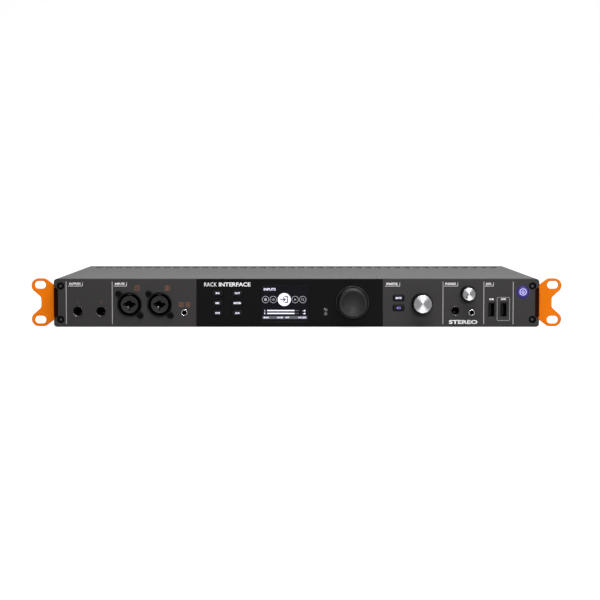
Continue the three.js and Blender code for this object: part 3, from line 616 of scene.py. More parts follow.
class Ink:
    """Collects flat marks that share one material and one face."""

    def __init__(self, lift=PRINT_LIFT):
        self.bm = bmesh.new()
        self.lift = lift

    def shape(self, outline, holes=()):
        add_plate(self.bm, outline, holes, -self.lift, self.lift)

    def disc(self, centre, radius):
        self.shape(circle(centre, radius, 40))

    def ring(self, centre, radius, width):
        inner = circle(centre, radius - width / 2, 40)
        self.shape(circle(centre, radius + width / 2, 40), [inner])

    def bar(self, left, right, bottom, top, radius=0.0):
        centre = ((left + right) / 2, (bottom + top) / 2)
        if radius:
            self.shape(rounded_rect(centre, right - left, top - bottom, radius, 4))
            return
        corners = ((left, bottom), (right, bottom), (right, top), (left, top))
        self.shape([Vector(c) for c in corners])

    def line(self, points, width):
        """An open polyline with square ends."""
        points = [Vector(p) for p in points]
        sides = {1: [], -1: []}
        for i, point in enumerate(points):
            before = (point - points[max(i - 1, 0)]).normalized()
            after = (points[min(i + 1, len(points) - 1)] - point).normalized()
            before = before if before.length else after
            after = after if after.length else before
            normal = Vector((-before.y - after.y, before.x + after.x))
            for side in sides:
                sides[side].append(point + normal * (side * width / 2 / (1 + before.dot(after))))
        self.shape(sides[1] + sides[-1][::-1])

    def text(self, text, left, v, cap, width, weight=0.0):
        """Letters that fill width from left on."""
        self.centred(text, left + width / 2, v, cap, width, weight)

    def centred(self, text, u, v, cap, width=None, weight=0.0):
        """Letters about (u, v), squeezed or stretched to width if it is given."""
        mesh, natural = text_mesh(text, cap, weight)
        stretch = width / natural if width else 1.0
        mesh.transform(Matrix.Translation((u, v, 0)) @ Matrix.Diagonal((stretch, 1, 1, 1)))
        self.bm.from_mesh(mesh)
        bpy.data.meshes.remove(mesh)

    def done(self, name, material, matrix=FRONT, body=CHASSIS):
        piece(name, self.bm, matrix, material, body)


# ---------------------------------------------------------------- front panel

NOTCH_DEPTH, NOTCH_HALF, NOTCH_SLOPE = 3.6, 15.0, 2.8
PANEL_CORNER, PANEL_RIM = 3.0, 0.45
HOLE_CLEAR, BUTTON_CLEAR = 0.15, 0.3
BAR_WIDTH, BAR_HEIGHT, BAR_CORNER = 9.6, 4.8, 0.6
BACK_BUTTON, POWER_BUTTON = 1.6, 5.0
SCREW_HEAD, COMBO_SCREW_HEAD, COMBO_SCREW_HOLE = 3.1, 2.2, 1.75
SHAFT_HOLE, COMBO_HOLE, MINI_HOLE = 3.7, 10.9, 3.2
USB_WIDTH, USB_HEIGHT = 5.7, 13.1
FASCIA_MIDDLE = ((FASCIA_LEFT + FASCIA_RIGHT) / 2, 0)
FASCIA_POCKET = FASCIA_THICK + 0.1


def bar_hole(node):
    width, height = BAR_WIDTH + 2 * BUTTON_CLEAR, BAR_HEIGHT + 2 * BUTTON_CLEAR
    return rounded_rect(button_at[node], width, height, BAR_CORNER + BUTTON_CLEAR, 4)


def usb_outline(centre, inset, corner, steps=5):
    """The outline of a USB shell, drawn in by inset all round."""
    return rounded_rect(centre, USB_WIDTH - 2 * inset, USB_HEIGHT - 2 * inset, corner, steps)


def around(node, grow, corner):
    """The outline of a front node, wider and taller by grow."""
    left, right, bottom, top = extent(node)
    return rounded_rect(middle(node), right - left + grow, top - bottom + grow, corner)


def side_plate(side):
    """The painted panel from the fascia out to one end, with the ear's notch in its end."""
    seam = (FASCIA_RIGHT if side > 0 else -FASCIA_LEFT) + 0.1
    end, top, r = PANEL_HALF_WIDTH, PANEL_HALF_HEIGHT, PANEL_CORNER
    notch = [
        Vector((end, -NOTCH_HALF)),
        Vector((end - NOTCH_DEPTH, -NOTCH_HALF + NOTCH_SLOPE)),
        Vector((end - NOTCH_DEPTH, NOTCH_HALF - NOTCH_SLOPE)),
        Vector((end, NOTCH_HALF)),
    ]
    outline = [Vector((seam, -top))] + arc(end - r, -top + r, r, -90, 0, 8)
    outline += notch + arc(end - r, top - r, r, 0, 90, 8) + [Vector((seam, top))]
    return [Vector((side * p.x, p.y)) for p in outline]


def side_holes(side):
    """Openings of the controls and sockets on one side of the fascia, and the screws."""
    holes = [circle(jack_at[n], JACK_NOSE[n] + HOLE_CLEAR) for n in jack_at]
    holes += [circle(c, COMBO_HOLE, 72) for c in combo_at.values()]
    holes += [circle(middle(n), COMBO_SCREW_HOLE, 20) for n in combo_screws]
    holes += [circle(c, MINI_HOLE, 32) for c in mini_at.values()]
    holes += [bar_hole(n) for n in ("mute_button", "speaker_button")]
    holes += [circle(knob_at[n], SHAFT_HOLE, 32) for n in ("monitor_knob", "phones_knob")]
    holes += [usb_outline(c, -0.2, 0.5, 4) for c in usb_at.values()]
    holes += [circle(button_at["power_button"], POWER_BUTTON + BUTTON_CLEAR)]
    holes += [circle(middle(n), SCREW_HEAD + HOLE_CLEAR, 40) for n in panel_screws]
    return [h for h in holes if h[0].x * side > 0 and not FASCIA_LEFT < h[0].x < FASCIA_RIGHT]


def fascia_holes():
    holes = [bar_hole(f"mode_button_{i}") for i in range(1, 7)]
    return holes + [circle(button_at["back_button"], BACK_BUTTON + BUTTON_CLEAR, 32)]


def build_panel():
    """The panel in one piece: full thickness at its sides, and thin behind the fascia."""
    bm = bmesh.new()
    for side in (-1, 1):
        add_plate(bm, side_plate(side), side_holes(side), 0, PANEL_THICK, PANEL_RIM)
    width = FASCIA_RIGHT - FASCIA_LEFT + 0.2
    back_plate = rounded_rect(FASCIA_MIDDLE, width, 2 * PANEL_HALF_HEIGHT, 0.05, 1)
    holes = fascia_holes() + [around("display_module", 1.0, 1.0)]
    holes.append(circle(knob_at["nav_knob"], SHAFT_HOLE, 32))
    add_plate(bm, back_plate, holes, FASCIA_POCKET, PANEL_THICK)
    panel = piece("panel", bm, FRONT, [PANEL_PAINT, PAINTED_NOTCH_SHADE], stands_for=["front_panel"])
    darken_notches(panel)


def darken_notches(panel):
    """The notch walls get a dark red-brown painted shade, the orange ear in deep shadow, and the paint
    ends at the edge of the face.
    """
    limit = (PANEL_HALF_WIDTH - NOTCH_DEPTH - 0.1) * MM
    for polygon in panel.data.polygons:
        outward = abs(polygon.normal.x) > 0.3 and abs(polygon.normal.y) < 0.5
        in_notch = abs(polygon.center.z - MID_Z) < (NOTCH_HALF + 0.1) * MM
        if outward and in_notch and abs(polygon.center.x) > limit:
            polygon.material_index = 1


NAV_WELL, NAV_WELL_DEPTH = 15.5, 0.6
NAV_RING_OUTER, NAV_RING_INNER = 14.85, 14.55


def build_fascia():
    """The gloss fascia, the menu knob's well with a grey ring round it as a painted highlight, and the
    lens.
    """
    nav = knob_at["nav_knob"]
    width = FASCIA_RIGHT - FASCIA_LEFT
    outline = rounded_rect(FASCIA_MIDDLE, width, 2 * PANEL_HALF_HEIGHT, 0.3, 3)
    holes = fascia_holes() + [around("display_window", 0.2, 0.6), circle(nav, NAV_WELL, 96)]
    bm = plate(outline, holes, 0, FASCIA_THICK, 0.3)
    add_tube(bm, NAV_WELL + 0.05, SHAFT_HOLE, NAV_WELL_DEPTH, FASCIA_THICK, 0.1, 96, nav)
    piece("fascia", bm, FRONT, GLOSS_BLACK, stands_for=["centre_fascia"])

    floor = NAV_WELL_DEPTH + 0.1
    ledge = tube(NAV_WELL, NAV_RING_OUTER, 0.05, floor, 0.1, 96, nav)
    piece("nav_well_ledge", ledge, FRONT, GLOSS_BLACK)
    # The pale grey ring is a painted highlight on the well's edge.
    ring = tube(NAV_RING_OUTER + 0.02, NAV_RING_INNER, -0.05, floor, 0.12, 96, nav)
    piece("nav_well_ring", ring, FRONT, WELL_RING_HIGHLIGHT)
    window = plate(around("display_window", 0, 0.5), [], 0.02, depths("display_window")[1], 0.12)
    piece("lens", window, FRONT, LENS_BLACK, stands_for=["display_window"])


def socket_screw(name, matrix, radius, span, shank_end, stands_for=(), crown=0.5):
    """A cap screw: a head from span[0] to span[1] with a rounded rim and a hexagon socket."""
    front, seat = span
    shank = radius * 0.45
    profile = [(0, front), (radius, front), (radius, seat), (shank, seat)]
    profile += [(shank, shank_end), (0, shank_end)]
    hexagon = circle((0, 0), radius * 0.52, 6)
    socket = plate(hexagon, [], front - 1, front + (seat - front) * 0.65)
    screw = combined(turned(profile, crown, 48, steps=5), socket, "DIFFERENCE")
    piece(name, screw, matrix, SCREW_BLACK, stands_for=stands_for)


def build_front_screws():
    """The panel's cap screws in counterbores of painted shade, with grey painted glints in their sockets,
    and the jack screws.
    """
    wells, glint_discs = bmesh.new(), bmesh.new()
    outer = SCREW_HEAD + HOLE_CLEAR - 0.01
    for node in panel_screws:
        floor = depths(node)[0] + 1.3
        # A thin near-black lining in each counterbore is painted shade; a grey disc in each hex socket is
        # a painted glint.
        add_tube(wells, outer, outer - 0.09, 0.12, PANEL_THICK, 0.03, 40, middle(node))
        add_pin(glint_discs, 1.2, floor, floor + 0.2, 24, middle(node))
    piece("counterbores", wells, FRONT, HOLE_SHADE_BLACK)
    piece("socket_glint_discs", glint_discs, FRONT, SOCKET_GLINT_GREY)
    heads = [(n, SCREW_HEAD, 0.5, 1.8, 0.5) for n in panel_screws]
    heads += [(n, COMBO_SCREW_HEAD, 0.3, 1.2, 0.4) for n in combo_screws]
    for node, radius, top, seat, crown in heads:
        front, back = depths(node)
        matrix = moved(FRONT, middle(node))
        span = (front + top, front + seat)
        socket_screw(f"{node}_head", matrix, radius, span, back, [node], crown)


# ---------------------------------------------------------------- sockets on the front

JACK_BORE, MINI_BORE = 3.25, 1.75
JACK_HOUSING, HOUSING_FRONT = 6.3, 8.5


def contact_springs(radius, places):
    """Thin sprung fingers inside a round bore, at each (angle, depth)."""
    bm = bmesh.new()
    corners = ((-0.7, radius - 1), (0.7, radius - 1), (0.7, radius), (-0.7, radius))
    for angle, depth in places:
        finger = plate([Vector(p) for p in corners], [], depth, depth + 3)
        finger.transform(Matrix.Rotation(math.radians(angle), 4, "Z"))
        mesh = bpy.data.meshes.new("finger")
        finger.to_mesh(mesh)
        finger.free()
        bm.from_mesh(mesh)
        bpy.data.meshes.remove(mesh)
    return bm


def build_jack(node):
    """A quarter-inch jack: a nose, a plated ring round its mouth, and a dark bore with contacts."""
    front, back = depths(node)
    nose, lip, bore_end = JACK_NOSE[node], front + 0.45, 21
    matrix = moved(FRONT, jack_at[node])
    body = [(JACK_BORE, bore_end), (JACK_BORE, front + 2.0), (nose - 0.8, front + 1.2)]
    body += [(nose - 0.8, lip), (nose, lip), (nose, HOUSING_FRONT), (JACK_HOUSING, HOUSING_FRONT)]
    body += [(JACK_HOUSING, back), (0, back), (0, bore_end)]
    piece(f"{node}_body", turned(body, 0.1), matrix, FLANGE_BLACK, stands_for=[node])
    # A thin near-black lining inside the bore, and a disc at its end, are painted shade.
    wall, floor = JACK_BORE - 0.02, bore_end - 0.1
    lining = [(wall, floor), (wall, 1.4), (wall - 0.12, 1.4), (wall - 0.12, floor - 0.2)]
    lining += [(0, floor - 0.2), (0, floor)]
    piece(f"{node}_bore", turned(lining), matrix, HOLE_SHADE_BLACK)
    chamfer = [(nose - 0.45, front + 0.5), (nose - 0.45, front + 0.35), (nose - 0.15, front - 0.1)]
    chamfer += [(nose, front - 0.1), (nose, front + 0.5)]
    ring = turned(chamfer, 0.06, closed=True)
    piece(f"{node}_ring", ring, matrix, SPRING_STEEL)
    springs = contact_springs(JACK_BORE - 0.2, ((25, 14.0), (195, 17.0)))
    piece(f"{node}_contacts", springs, matrix, DARK_NICKEL)


def build_mini_jack(node):
    """A small jack with a chromed ring round its mouth."""
    front, back = depths(node)
    matrix = moved(FRONT, mini_at[node])
    mouth, nose, housing, bore_end = 2.2, 2.8, 3.6, 18
    profile = [(0, bore_end), (MINI_BORE, bore_end), (MINI_BORE, front + 0.9), (mouth, front + 0.3)]
    profile += [(nose, front + 0.3), (nose, HOUSING_FRONT), (housing, HOUSING_FRONT)]
    profile += [(housing, back), (0, back)]
    body = turned(profile, 0.2, 48)
    # The body's near-black colour is painted shade in the bore; black plastic with the bore's shadow.
    piece(f"{node}_body", body, matrix, HOLE_SHADE_BLACK, stands_for=[node])
    ring = tube(nose + 0.1, mouth - 0.05, front, 1.2, 0.26)
    piece(f"{node}_ring", ring, matrix, CHROME)


COMBO_FLANGE, COMBO_BARREL, COMBO_BORE, COMBO_INSERT = 11.2, 10.6, 10.1, 7.9
COMBO_SCREW_AT, COMBO_LOBE = 9.9, 3.0
INSERT_BACK = 11
XLR_PINS = ((-4.5, 0.5), (4.5, 0.5), (0.0, -4.6))


def combo_flange():
    """The flange ring and its two screw lobes as one drawn solid."""
    seat, face = -0.05, -1.2
    profile = [(COMBO_BORE, seat), (COMBO_BORE, face), (COMBO_FLANGE, face), (COMBO_FLANGE, seat)]
    bm = turned(profile, 0.35, 96, closed=True)
    for side in (1, -1):
        screw = (-side * COMBO_SCREW_AT, side * COMBO_SCREW_AT)
        turn = 135 if side > 0 else -45
        outer = arc(*screw, COMBO_LOBE, turn - 90, turn + 90, 14)
        inward = Vector((side, -side)) * 2.4
        outline = outer + [outer[-1] + inward, outer[0] + inward]
        lobe = plate(outline, [circle(screw, COMBO_SCREW_HOLE, 24)], -1.0, seat, 0.3)
        bm = combined(bm, lobe, "UNION")
    return bm


def wing_outline():
    """The shallow recess that joins the two upper pin holes across the middle of the insert."""
    return arc(0, -5.0, 7.8, 42, 138, 20) + arc(0, 6.3, 8.6, 228, 312, 20)


def combo_insert():
    """The insert as one drawn solid, with its wing, pin holes and jack bore cut out."""
    face, back = -0.6, 24
    profile = [(0, 20), (JACK_BORE, 20), (JACK_BORE, 0.2), (JACK_BORE + 0.5, -0.3)]
    profile += [(COMBO_INSERT, face), (COMBO_INSERT, INSERT_BACK - 0.1), (0, back)]
    bm = combined(turned(profile, 0.35, 72), plate(wing_outline(), [], -2, 2.2), "DIFFERENCE")
    for at in XLR_PINS:
        bm = combined(bm, pin(0.95, -3, 8, 24, at), "DIFFERENCE")
    return bm


def build_combo(node):
    """A combination jack: flange, black groove, and an insert with pin holes and a jack bore."""
    matrix = moved(FRONT, combo_at[node])
    back = depths(node)[1] - 1
    flange = combined(combo_flange(), pin(COMBO_BORE, -3, 0.5, 96), "DIFFERENCE")
    piece(f"{node}_flange", flange, matrix, FLANGE_BLACK, stands_for=[node])
    floor = COMBO_INSERT - 1.0
    profile = [(COMBO_BORE, -0.9), (COMBO_BARREL, -0.3), (COMBO_BARREL, back)]
    profile += [(floor, back), (floor, INSERT_BACK), (COMBO_BORE, INSERT_BACK)]
    barrel = turned(profile, 0.15, 72, closed=True)
    # The groove is near-black: black plastic with painted shade over it.
    piece(f"{node}_barrel", barrel, matrix, HOLE_SHADE_BLACK)
    insert = piece(f"{node}_insert", combo_insert(), matrix, [INSERT_GREY, HOLE_SHADE_BLACK])
    darken_recesses(insert)
    contacts = bmesh.new()
    for at in XLR_PINS:
        add_tube(contacts, 0.93, 0.6, 6.0, 7.5, 0.1, 20, at)
    piece(f"{node}_contacts", contacts, matrix, DARK_NICKEL)
    springs = contact_springs(JACK_BORE, ((145, 3.0), (320, 9.0)))
    piece(f"{node}_springs", springs, matrix, NICKEL)
    latch = plate(rounded_rect((0, 9.0), 4.2, 1.0, 0.4), [], -0.1, 9, 0.25)
    piece(f"{node}_latch", latch, matrix, JACK_BLACK)


def darken_recesses(insert):
    """Everything set back from the insert's face gets the near-black painted shade of the bores."""
    for polygon in insert.data.polygons:
        depth = (polygon.center.y - FACE_Y) / MM
        if depth > 0.9 or (depth > -0.1 and abs(polygon.normal.y) < 0.3):
            polygon.material_index = 1


def build_usb(node):
    """An upright USB socket: a plated shell, a dark lining of painted shade, and a tongue with four
    contacts.
    """
    front, back = depths(node)
    matrix = moved(FRONT, usb_at[node])
    axis = (0, 0)
    shell = plate(usb_outline(axis, 0, 0.5), [usb_outline(axis, 0.3, 0.3)], front, back, 0.08)
    piece(f"{node}_shell", shell, matrix, DARK_NICKEL, stands_for=[node])
    # The black lining inside the shell is painted shade.
    outer, throat = usb_outline(axis, 0.31, 0.3), usb_outline(axis, 0.5, 0.2)
    lining = plate(outer, [throat], front + 0.5, back - 2, 0.1)
    add_plate(lining, outer, [], back - 2.05, back - 0.5)
    piece(f"{node}_lining", lining, matrix, HOLE_SHADE_BLACK)
    tongue = plate(rounded_rect((-1.0, 0), 1.8, 11.0, 0.2), [], front + 1.2, back - 1, 0.2)
    piece(f"{node}_tongue", tongue, matrix, SKIRT_BLACK)
    contacts = bmesh.new()
    for i in range(4):
        strip = rounded_rect((-0.05, -3.9 + 2.6 * i), 0.14, 1.2, 0.04, 1)
        add_plate(contacts, strip, [], front + 4, back - 3)
    piece(f"{node}_contacts", contacts, matrix, GOLD)


# ---------------------------------------------------------------- knobs and buttons

SHAFT_BORE = 3.1
CAP_END, COLLAR_FRONT, COLLAR_BACK = 8.15, 8.1, 9.1


def build_nav_knob():
    """The large menu knob, with a dished face and a hub behind it."""
    front, back = depths("nav_knob")
    base, face, dish = 14.2, 13.3, 10.2
    rim = [(0, front + 1.55), (dish * 0.3, front + 1.5), (dish * 0.6, front + 1.2)]
    rim += [(dish * 0.85, front + 0.7), (dish, front + 0.25), (dish + 0.7, front + 0.05)]
    side = [(face - 1.3, front), (face - 0.35, front + 0.6), (face + 0.05, front + 2.0)]
    side += [(base, back - 0.5), (base - 0.4, back)]
    under = [(base - 2.2, back), (base - 2.2, back - 7), (5.5, back - 7), (5.5, back)]
    hub = [(SHAFT_BORE, back), (SHAFT_BORE, front + 5), (0, front + 5)]
    knob = turned(rim + side + under + hub, 0.7, 128, steps=5)
    matrix = moved(FRONT, knob_at["nav_knob"])
    piece("nav_knob_body", knob, matrix, KNOB_BLACK, "nav_knob", ["nav_knob"])


def build_capped_knob(node, cap_material):
    """A black knob with a bright turned cap set in its face."""
    left, right, _, _ = extent(node)
    front, back = depths(node)
    cap_left, cap_right, _, _ = extent(f"{node}_cap")
    cap_front = depths(f"{node}_cap")[0]
    radius, cap = (right - left) / 2, (cap_right - cap_left) / 2
    # The black foot flares 0.45 mm past the knob's radius, a washer-like rim that stands for the shadow
    # round the knob's base: painted shade.
    seat, shade_foot = cap_front + 1.2, radius + 0.45
    matrix = moved(FRONT, knob_at[node])
    profile = [(0, seat), (cap + 0.1, seat), (cap + 0.1, front), (cap + 0.5, front)]
    profile += [(radius, back - 0.9), (shade_foot, back - 0.7), (shade_foot, back)]
    profile += [(SHAFT_BORE, back), (SHAFT_BORE, seat + 3), (0, seat + 3)]
    body = turned(profile, 0.15, 96)
    piece(f"{node}_body", body, matrix, SKIRT_BLACK, node, [node])
    profile = [(0, cap_front), (cap - 0.3, cap_front), (cap - 0.1, cap_front + 0.25)]
    profile += [(cap - 0.1, seat - 0.1), (0, seat - 0.1)]
    face = turned(profile, 0.2, 96)
    if node == "phones_knob":
        angle = math.radians(-125)
        centre = (3.6 * math.cos(angle), 3.6 * math.sin(angle))
        dimple = pin(0.8, cap_front - 1, cap_front + 0.5, 24, centre)
        face = combined(face, dimple, "DIFFERENCE")
        dot = plate(circle(centre, 0.78, 24), [], cap_front + 0.38, cap_front + 0.6)
        piece(f"{node}_dot", dot, matrix, SKIRT_BLACK, node)
    piece(f"{node}_face", face, matrix, cap_material, node, [f"{node}_cap"])


def build_button(node, cap, collar, rim, material):
    """A button: its cap, a collar that holds it behind the panel, and a stem to its switch."""
    front, back = depths(node)
    bm = plate(cap, [], front, CAP_END, rim, 4)
    add_plate(bm, collar, [], COLLAR_FRONT, COLLAR_BACK)
    add_plate(bm, circle((0, 0), 1.2, 16), [], COLLAR_BACK - 0.05, back)
    piece(f"{node}_cap", bm, moved(FRONT, button_at[node]), material, node, [node])


def build_bar_button(node):
    cap = rounded_rect((0, 0), BAR_WIDTH, BAR_HEIGHT, BAR_CORNER, 5)
    collar = rounded_rect((0, 0), BAR_WIDTH + 2, BAR_HEIGHT + 2, 0.5, 3)
    build_button(node, cap, collar, 0.35, CAP_BLACK)


def build_round_button(node, radius, material):
    cap, collar = circle((0, 0), radius, 64), circle((0, 0), radius + 1, 32)
    build_button(node, cap, collar, min(0.35, radius * 0.3), material)


def power_material():
    """Smoked plastic lit from behind in violet, fading a little towards its edge."""
    s = Shader("power_cap")
    glow = s.spread(s.length(s.from_axis("power_button")), 0.32, 0.22, 3.2 * MM, POWER_BUTTON * MM)
    base = s.mix(s.spread(s.noise(0.3, 1.0), 0.0, 0.4), srgb(30, 26, 44), srgb(40, 36, 58))
    return s.finish(Base_Color=base, Roughness=0.3, Emission_Color=VIOLET, Emission_Strength=glow)


# ---------------------------------------------------------------- printing on the front

DIVIDERS = (-208.7, -167.0, 132.7, 169.7, 196.3)
DIVIDER_HALF, DIVIDER_REACH = 0.36, 19.3
SECTIONS = (
    ("OUTPUTS", -207.1, -193.9),
    ("INPUTS", -165.6, -154.0),
    ("MONITOR", 80.2, 93.5),
    ("PHONES", 133.6, 146.1),
    ("DATA", 170.6, 178.4),
)
SECTION_LINE, SECTION_WORD, SECTION_CORNER = 15.2, 17.2, 0.6
MODE_LABELS = (("IN", 3.2), ("OUT", 4.8), ("MIX", 3.6), ("METER", 6.7), ("SYS", 4.1), ("AUX", 4.3))


def print_sections():
    """Dividing lines, and the heading of each section over a line with a tick at its end."""
    lines = Ink()
    for u in DIVIDERS:
        lines.bar(u - DIVIDER_HALF, u + DIVIDER_HALF, -DIVIDER_REACH, DIVIDER_REACH)
    lines.done("divider_lines", GREY_PRINT)
    words = Ink()
    for text, left, right in SECTIONS:
        words.text(text, left + 1.1, SECTION_WORD, 2.2, right - left - 2.9, 0.06)
        centre = (right - SECTION_CORNER, SECTION_LINE + SECTION_CORNER)
        corner = arc(*centre, SECTION_CORNER, -90, 0, 5)
        words.line([(left, SECTION_LINE)] + corner + [(right, 18.5)], 0.3)
    words.done("section_words", WHITE_PRINT)
    title = Ink()
    title.text("RACK", -83.6, 16.7, 3.7, 11.4)
    title.text("INTERFACE", -70.4, 16.7, 3.7, 28.7, 0.09)
    title.done("title_words", WHITE_PRINT)
    wide = Ink()
    wide.text("STEREO", 138.2, -17.4, 3.6, 25.9, 0.12)
    wide.done("phones_words", WHITE_PRINT)


def boxed_digit(ink, number, centre, width, height, cap):
    """A digit in a thin rounded frame."""
    inner = rounded_rect(centre, width - 0.7, height - 0.7, 0.5)
    ink.shape(rounded_rect(centre, width, height, 0.8), [inner])
    ink.centred(str(number), *centre, cap, weight=0.05)


def print_small_marks():
    """The backlit numbers over the sockets, and the printing round the USB sockets."""
    orange = Ink()
    for number, centre in enumerate(combo_at.values(), start=1):
        boxed_digit(orange, number, (centre.x + 7.0, 13.4), 4.2, 4.4, 2.4)
    aux = mini_at["aux_jack"]
    for number, step in ((3, -2.8), (4, 3.2)):
        boxed_digit(orange, number, (aux.x + step, -1.6), 3.9, 3.8, 2.0)
    orange.done("input_marks", ORANGE_GLOW)
    dim = Ink()
    for number, node in enumerate(("output_jack_1", "output_jack_2"), start=1):
        dim.centred(str(number), jack_at[node].x, 1.0, 2.0, weight=0.03)
    dim.done("output_marks", DIM_ORANGE)
    ports = Ink()
    left_port, right_port = usb_at["usb_port_1"], usb_at["usb_port_2"]
    ports.centred("HUB", left_port.x, 3.3, 1.6, 4.0, 0.08)
    ports.centred("HOST", right_port.x - 0.1, 3.3, 1.6, 4.6, 0.08)
    ports.done("port_words", WHITE_PRINT)
    border = Ink()
    centre = (right_port.x - 0.2, -5.5)
    border.shape(rounded_rect(centre, 11.7, 21.4, 1.3), [rounded_rect(centre, 10.9, 20.6, 0.9)])
    border.done("port_frame", GREY_PRINT)


def speaker_mark(ink, at, size):
    """A loudspeaker with two sound waves."""
    cone = ((-1.5, -0.45), (-0.9, -0.45), (0.0, -1.3), (0.0, 1.3), (-0.9, 0.45), (-1.5, 0.45))
    ink.shape([at + Vector(p) * size for p in cone])
    for radius in (0.95, 1.7):
        ink.line(arc(at.x, at.y, radius * size, -42, 42, 8), 0.36 * size)


def power_mark(ink, at):
    """A lit ring with a small power symbol in it."""
    ink.ring(at, 2.85, 0.6)
    ink.line(arc(at.x, at.y - 0.15, 1.1, 130, 410, 24), 0.55)
    ink.bar(at.x - 0.3, at.x + 0.3, at.y + 0.1, at.y + 1.7)


def return_mark(ink, at):
    """An arrow that turns back to the left."""
    u, v = at
    ink.line([(u - 0.7, v)] + arc(u + 0.5, v - 0.85, 0.85, 90, -90, 8) + [(u - 0.6, v - 1.7)], 0.42)
    arrow = ((-1.7, 0.0), (-0.5, 0.95), (-0.5, -0.95))
    ink.shape([at + Vector(p) for p in arrow])


def done_on(ink, node, part, material):
    """Puts marks drawn about the middle of the panel on a button's face, to move with it."""
    ink.done(f"{node}_{part}", material, moved(FRONT, (0, 0), depths(node)[0]), node)


def print_button_marks():
    for i, (label, width) in enumerate(MODE_LABELS, start=1):
        ink = Ink()
        ink.centred(label, *button_at[f"mode_button_{i}"], 1.7, width, 0.06)
        done_on(ink, f"mode_button_{i}", "word", WHITE_GLOW)
    mute, speaker, power, back = Ink(), Ink(), Ink(), Ink()
    mute.centred("MUTE", *button_at["mute_button"], 1.8, 5.2, 0.06)
    done_on(mute, "mute_button", "word", WHITE_GLOW)
    speaker_mark(speaker, button_at["speaker_button"] - Vector((0.2, 0)), 1.05)
    done_on(speaker, "speaker_button", "mark", DIM_VIOLET)
    power_mark(power, button_at["power_button"])
    done_on(power, "power_button", "mark", VIOLET_GLOW)
    return_mark(back, button_at["back_button"] + Vector((-0.1, 4.6)))
    back.done("return_mark", GREY_PRINT)


# ---------------------------------------------------------------- what the display shows

SCREEN_RINGS = (-28.1, -21.1, -1.3, 5.6)
SCREEN_ROW = 3.0
PICKED_AT, PICKED_RADIUS = -11.1, 5.9
METER_LEFT, METER_END, METER_RIGHT = -26.6, -1.9, 2.0
METER_ROWS = (("L", -7.0), ("R", -9.6))
STATUS_ROW = -13.3
STATUS = (("48 kHz", -30.0, -25.0), ("LOCK", -17.6, -12.2), ("INT", -9.8, -6.4),
          ("4 IN 2 OUT", 1.6, 8.8))


def screen_icons(ink):
    """What is in the rings: a target, a wave, a play mark and a pair of sliders."""
    target, wave, play, sliders = (Vector((u, SCREEN_ROW)) for u in SCREEN_RINGS)
    ink.disc(target, 1.25)
    for i, tall in enumerate((0.6, 1.3, 0.7)):
        u = wave.x + i - 1
        ink.bar(u - 0.22, u + 0.22, wave.y - tall, wave.y + tall)
    ink.shape([play + Vector(p) for p in ((-0.6, -1.1), (1.1, 0.0), (-0.6, 1.1))])
    for step, knob in ((-0.8, 0.5), (0.8, -0.5)):
        u = sliders.x + step
        ink.bar(u - 0.15, u + 0.15, sliders.y - 1.3, sliders.y + 1.3)
        ink.disc((u, sliders.y + knob), 0.5)


def entry_mark(ink, u, v):
    """An arrow that runs into a bracket."""
    ink.line([(u + 0.2, v + 2.7), (u + 2.8, v + 2.7), (u + 2.8, v - 2.7), (u + 0.2, v - 2.7)], 0.8)
    ink.line([(u - 3.8, v), (u + 0.6, v)], 0.8)
    ink.line([(u - 1.2, v + 1.9), (u + 0.9, v), (u - 1.2, v - 1.9)], 0.8)


def build_screen():
    """An input page: four ringed icons, one picked out, two level bars and a status strip."""
    white, grey, dark, strip = Ink(0.015), Ink(0.012), Ink(0.02), Ink(0.01)
    white.text("INPUTS", -29.7, 12.3, 2.3, 10.8, 0.05)
    for u in SCREEN_RINGS:
        grey.ring((u, SCREEN_ROW), 3.0, 0.42)
    screen_icons(grey)
    white.disc((PICKED_AT, SCREEN_ROW), PICKED_RADIUS)
    entry_mark(dark, PICKED_AT, SCREEN_ROW)
    for label, row in METER_ROWS:
        white.centred(label, -28.7, row, 1.4, weight=0.08)
        white.bar(METER_LEFT, METER_END, row - 0.56, row + 0.56)
        strip.bar(METER_END + 0.1, METER_RIGHT, row - 0.35, row + 0.35)
        white.centred("-6", 6.9, row, 1.5, 2.6, 0.1)
    strip.bar(-30.9, 9.6, STATUS_ROW - 1.3, STATUS_ROW + 1.3, 0.3)
    for text, left, right in STATUS:
        white.text(text, left, STATUS_ROW, 1.4, right - left, 0.06)
    layers = (
        (strip, "screen_strips", SCREEN_STRIP, 0.02),
        (grey, "screen_grey_marks", SCREEN_GREY, 0.015),
        (white, "screen_white_marks", WHITE_GLOW, 0.01),
        (dark, "screen_dark_marks", LENS_BLACK, 0.0),
    )
    for ink, name, material, depth in layers:
        ink.done(name, material, moved(FRONT, (0, 0), depth))


# ---------------------------------------------------------------- chassis

SHEET, BEND = 1.2, 1.6
VENTS, VENT_PITCH, VENT_WIDTH, VENT_LENGTH, VENT_FROM_BACK = 42, 10.0, 6.5, 26.0, 20.0
STAND_OFF_U, STAND_OFF_INSET, STAND_OFF_TALL = 204, 16, 7.0
BOARD_SCREW_HOLE = 1.6


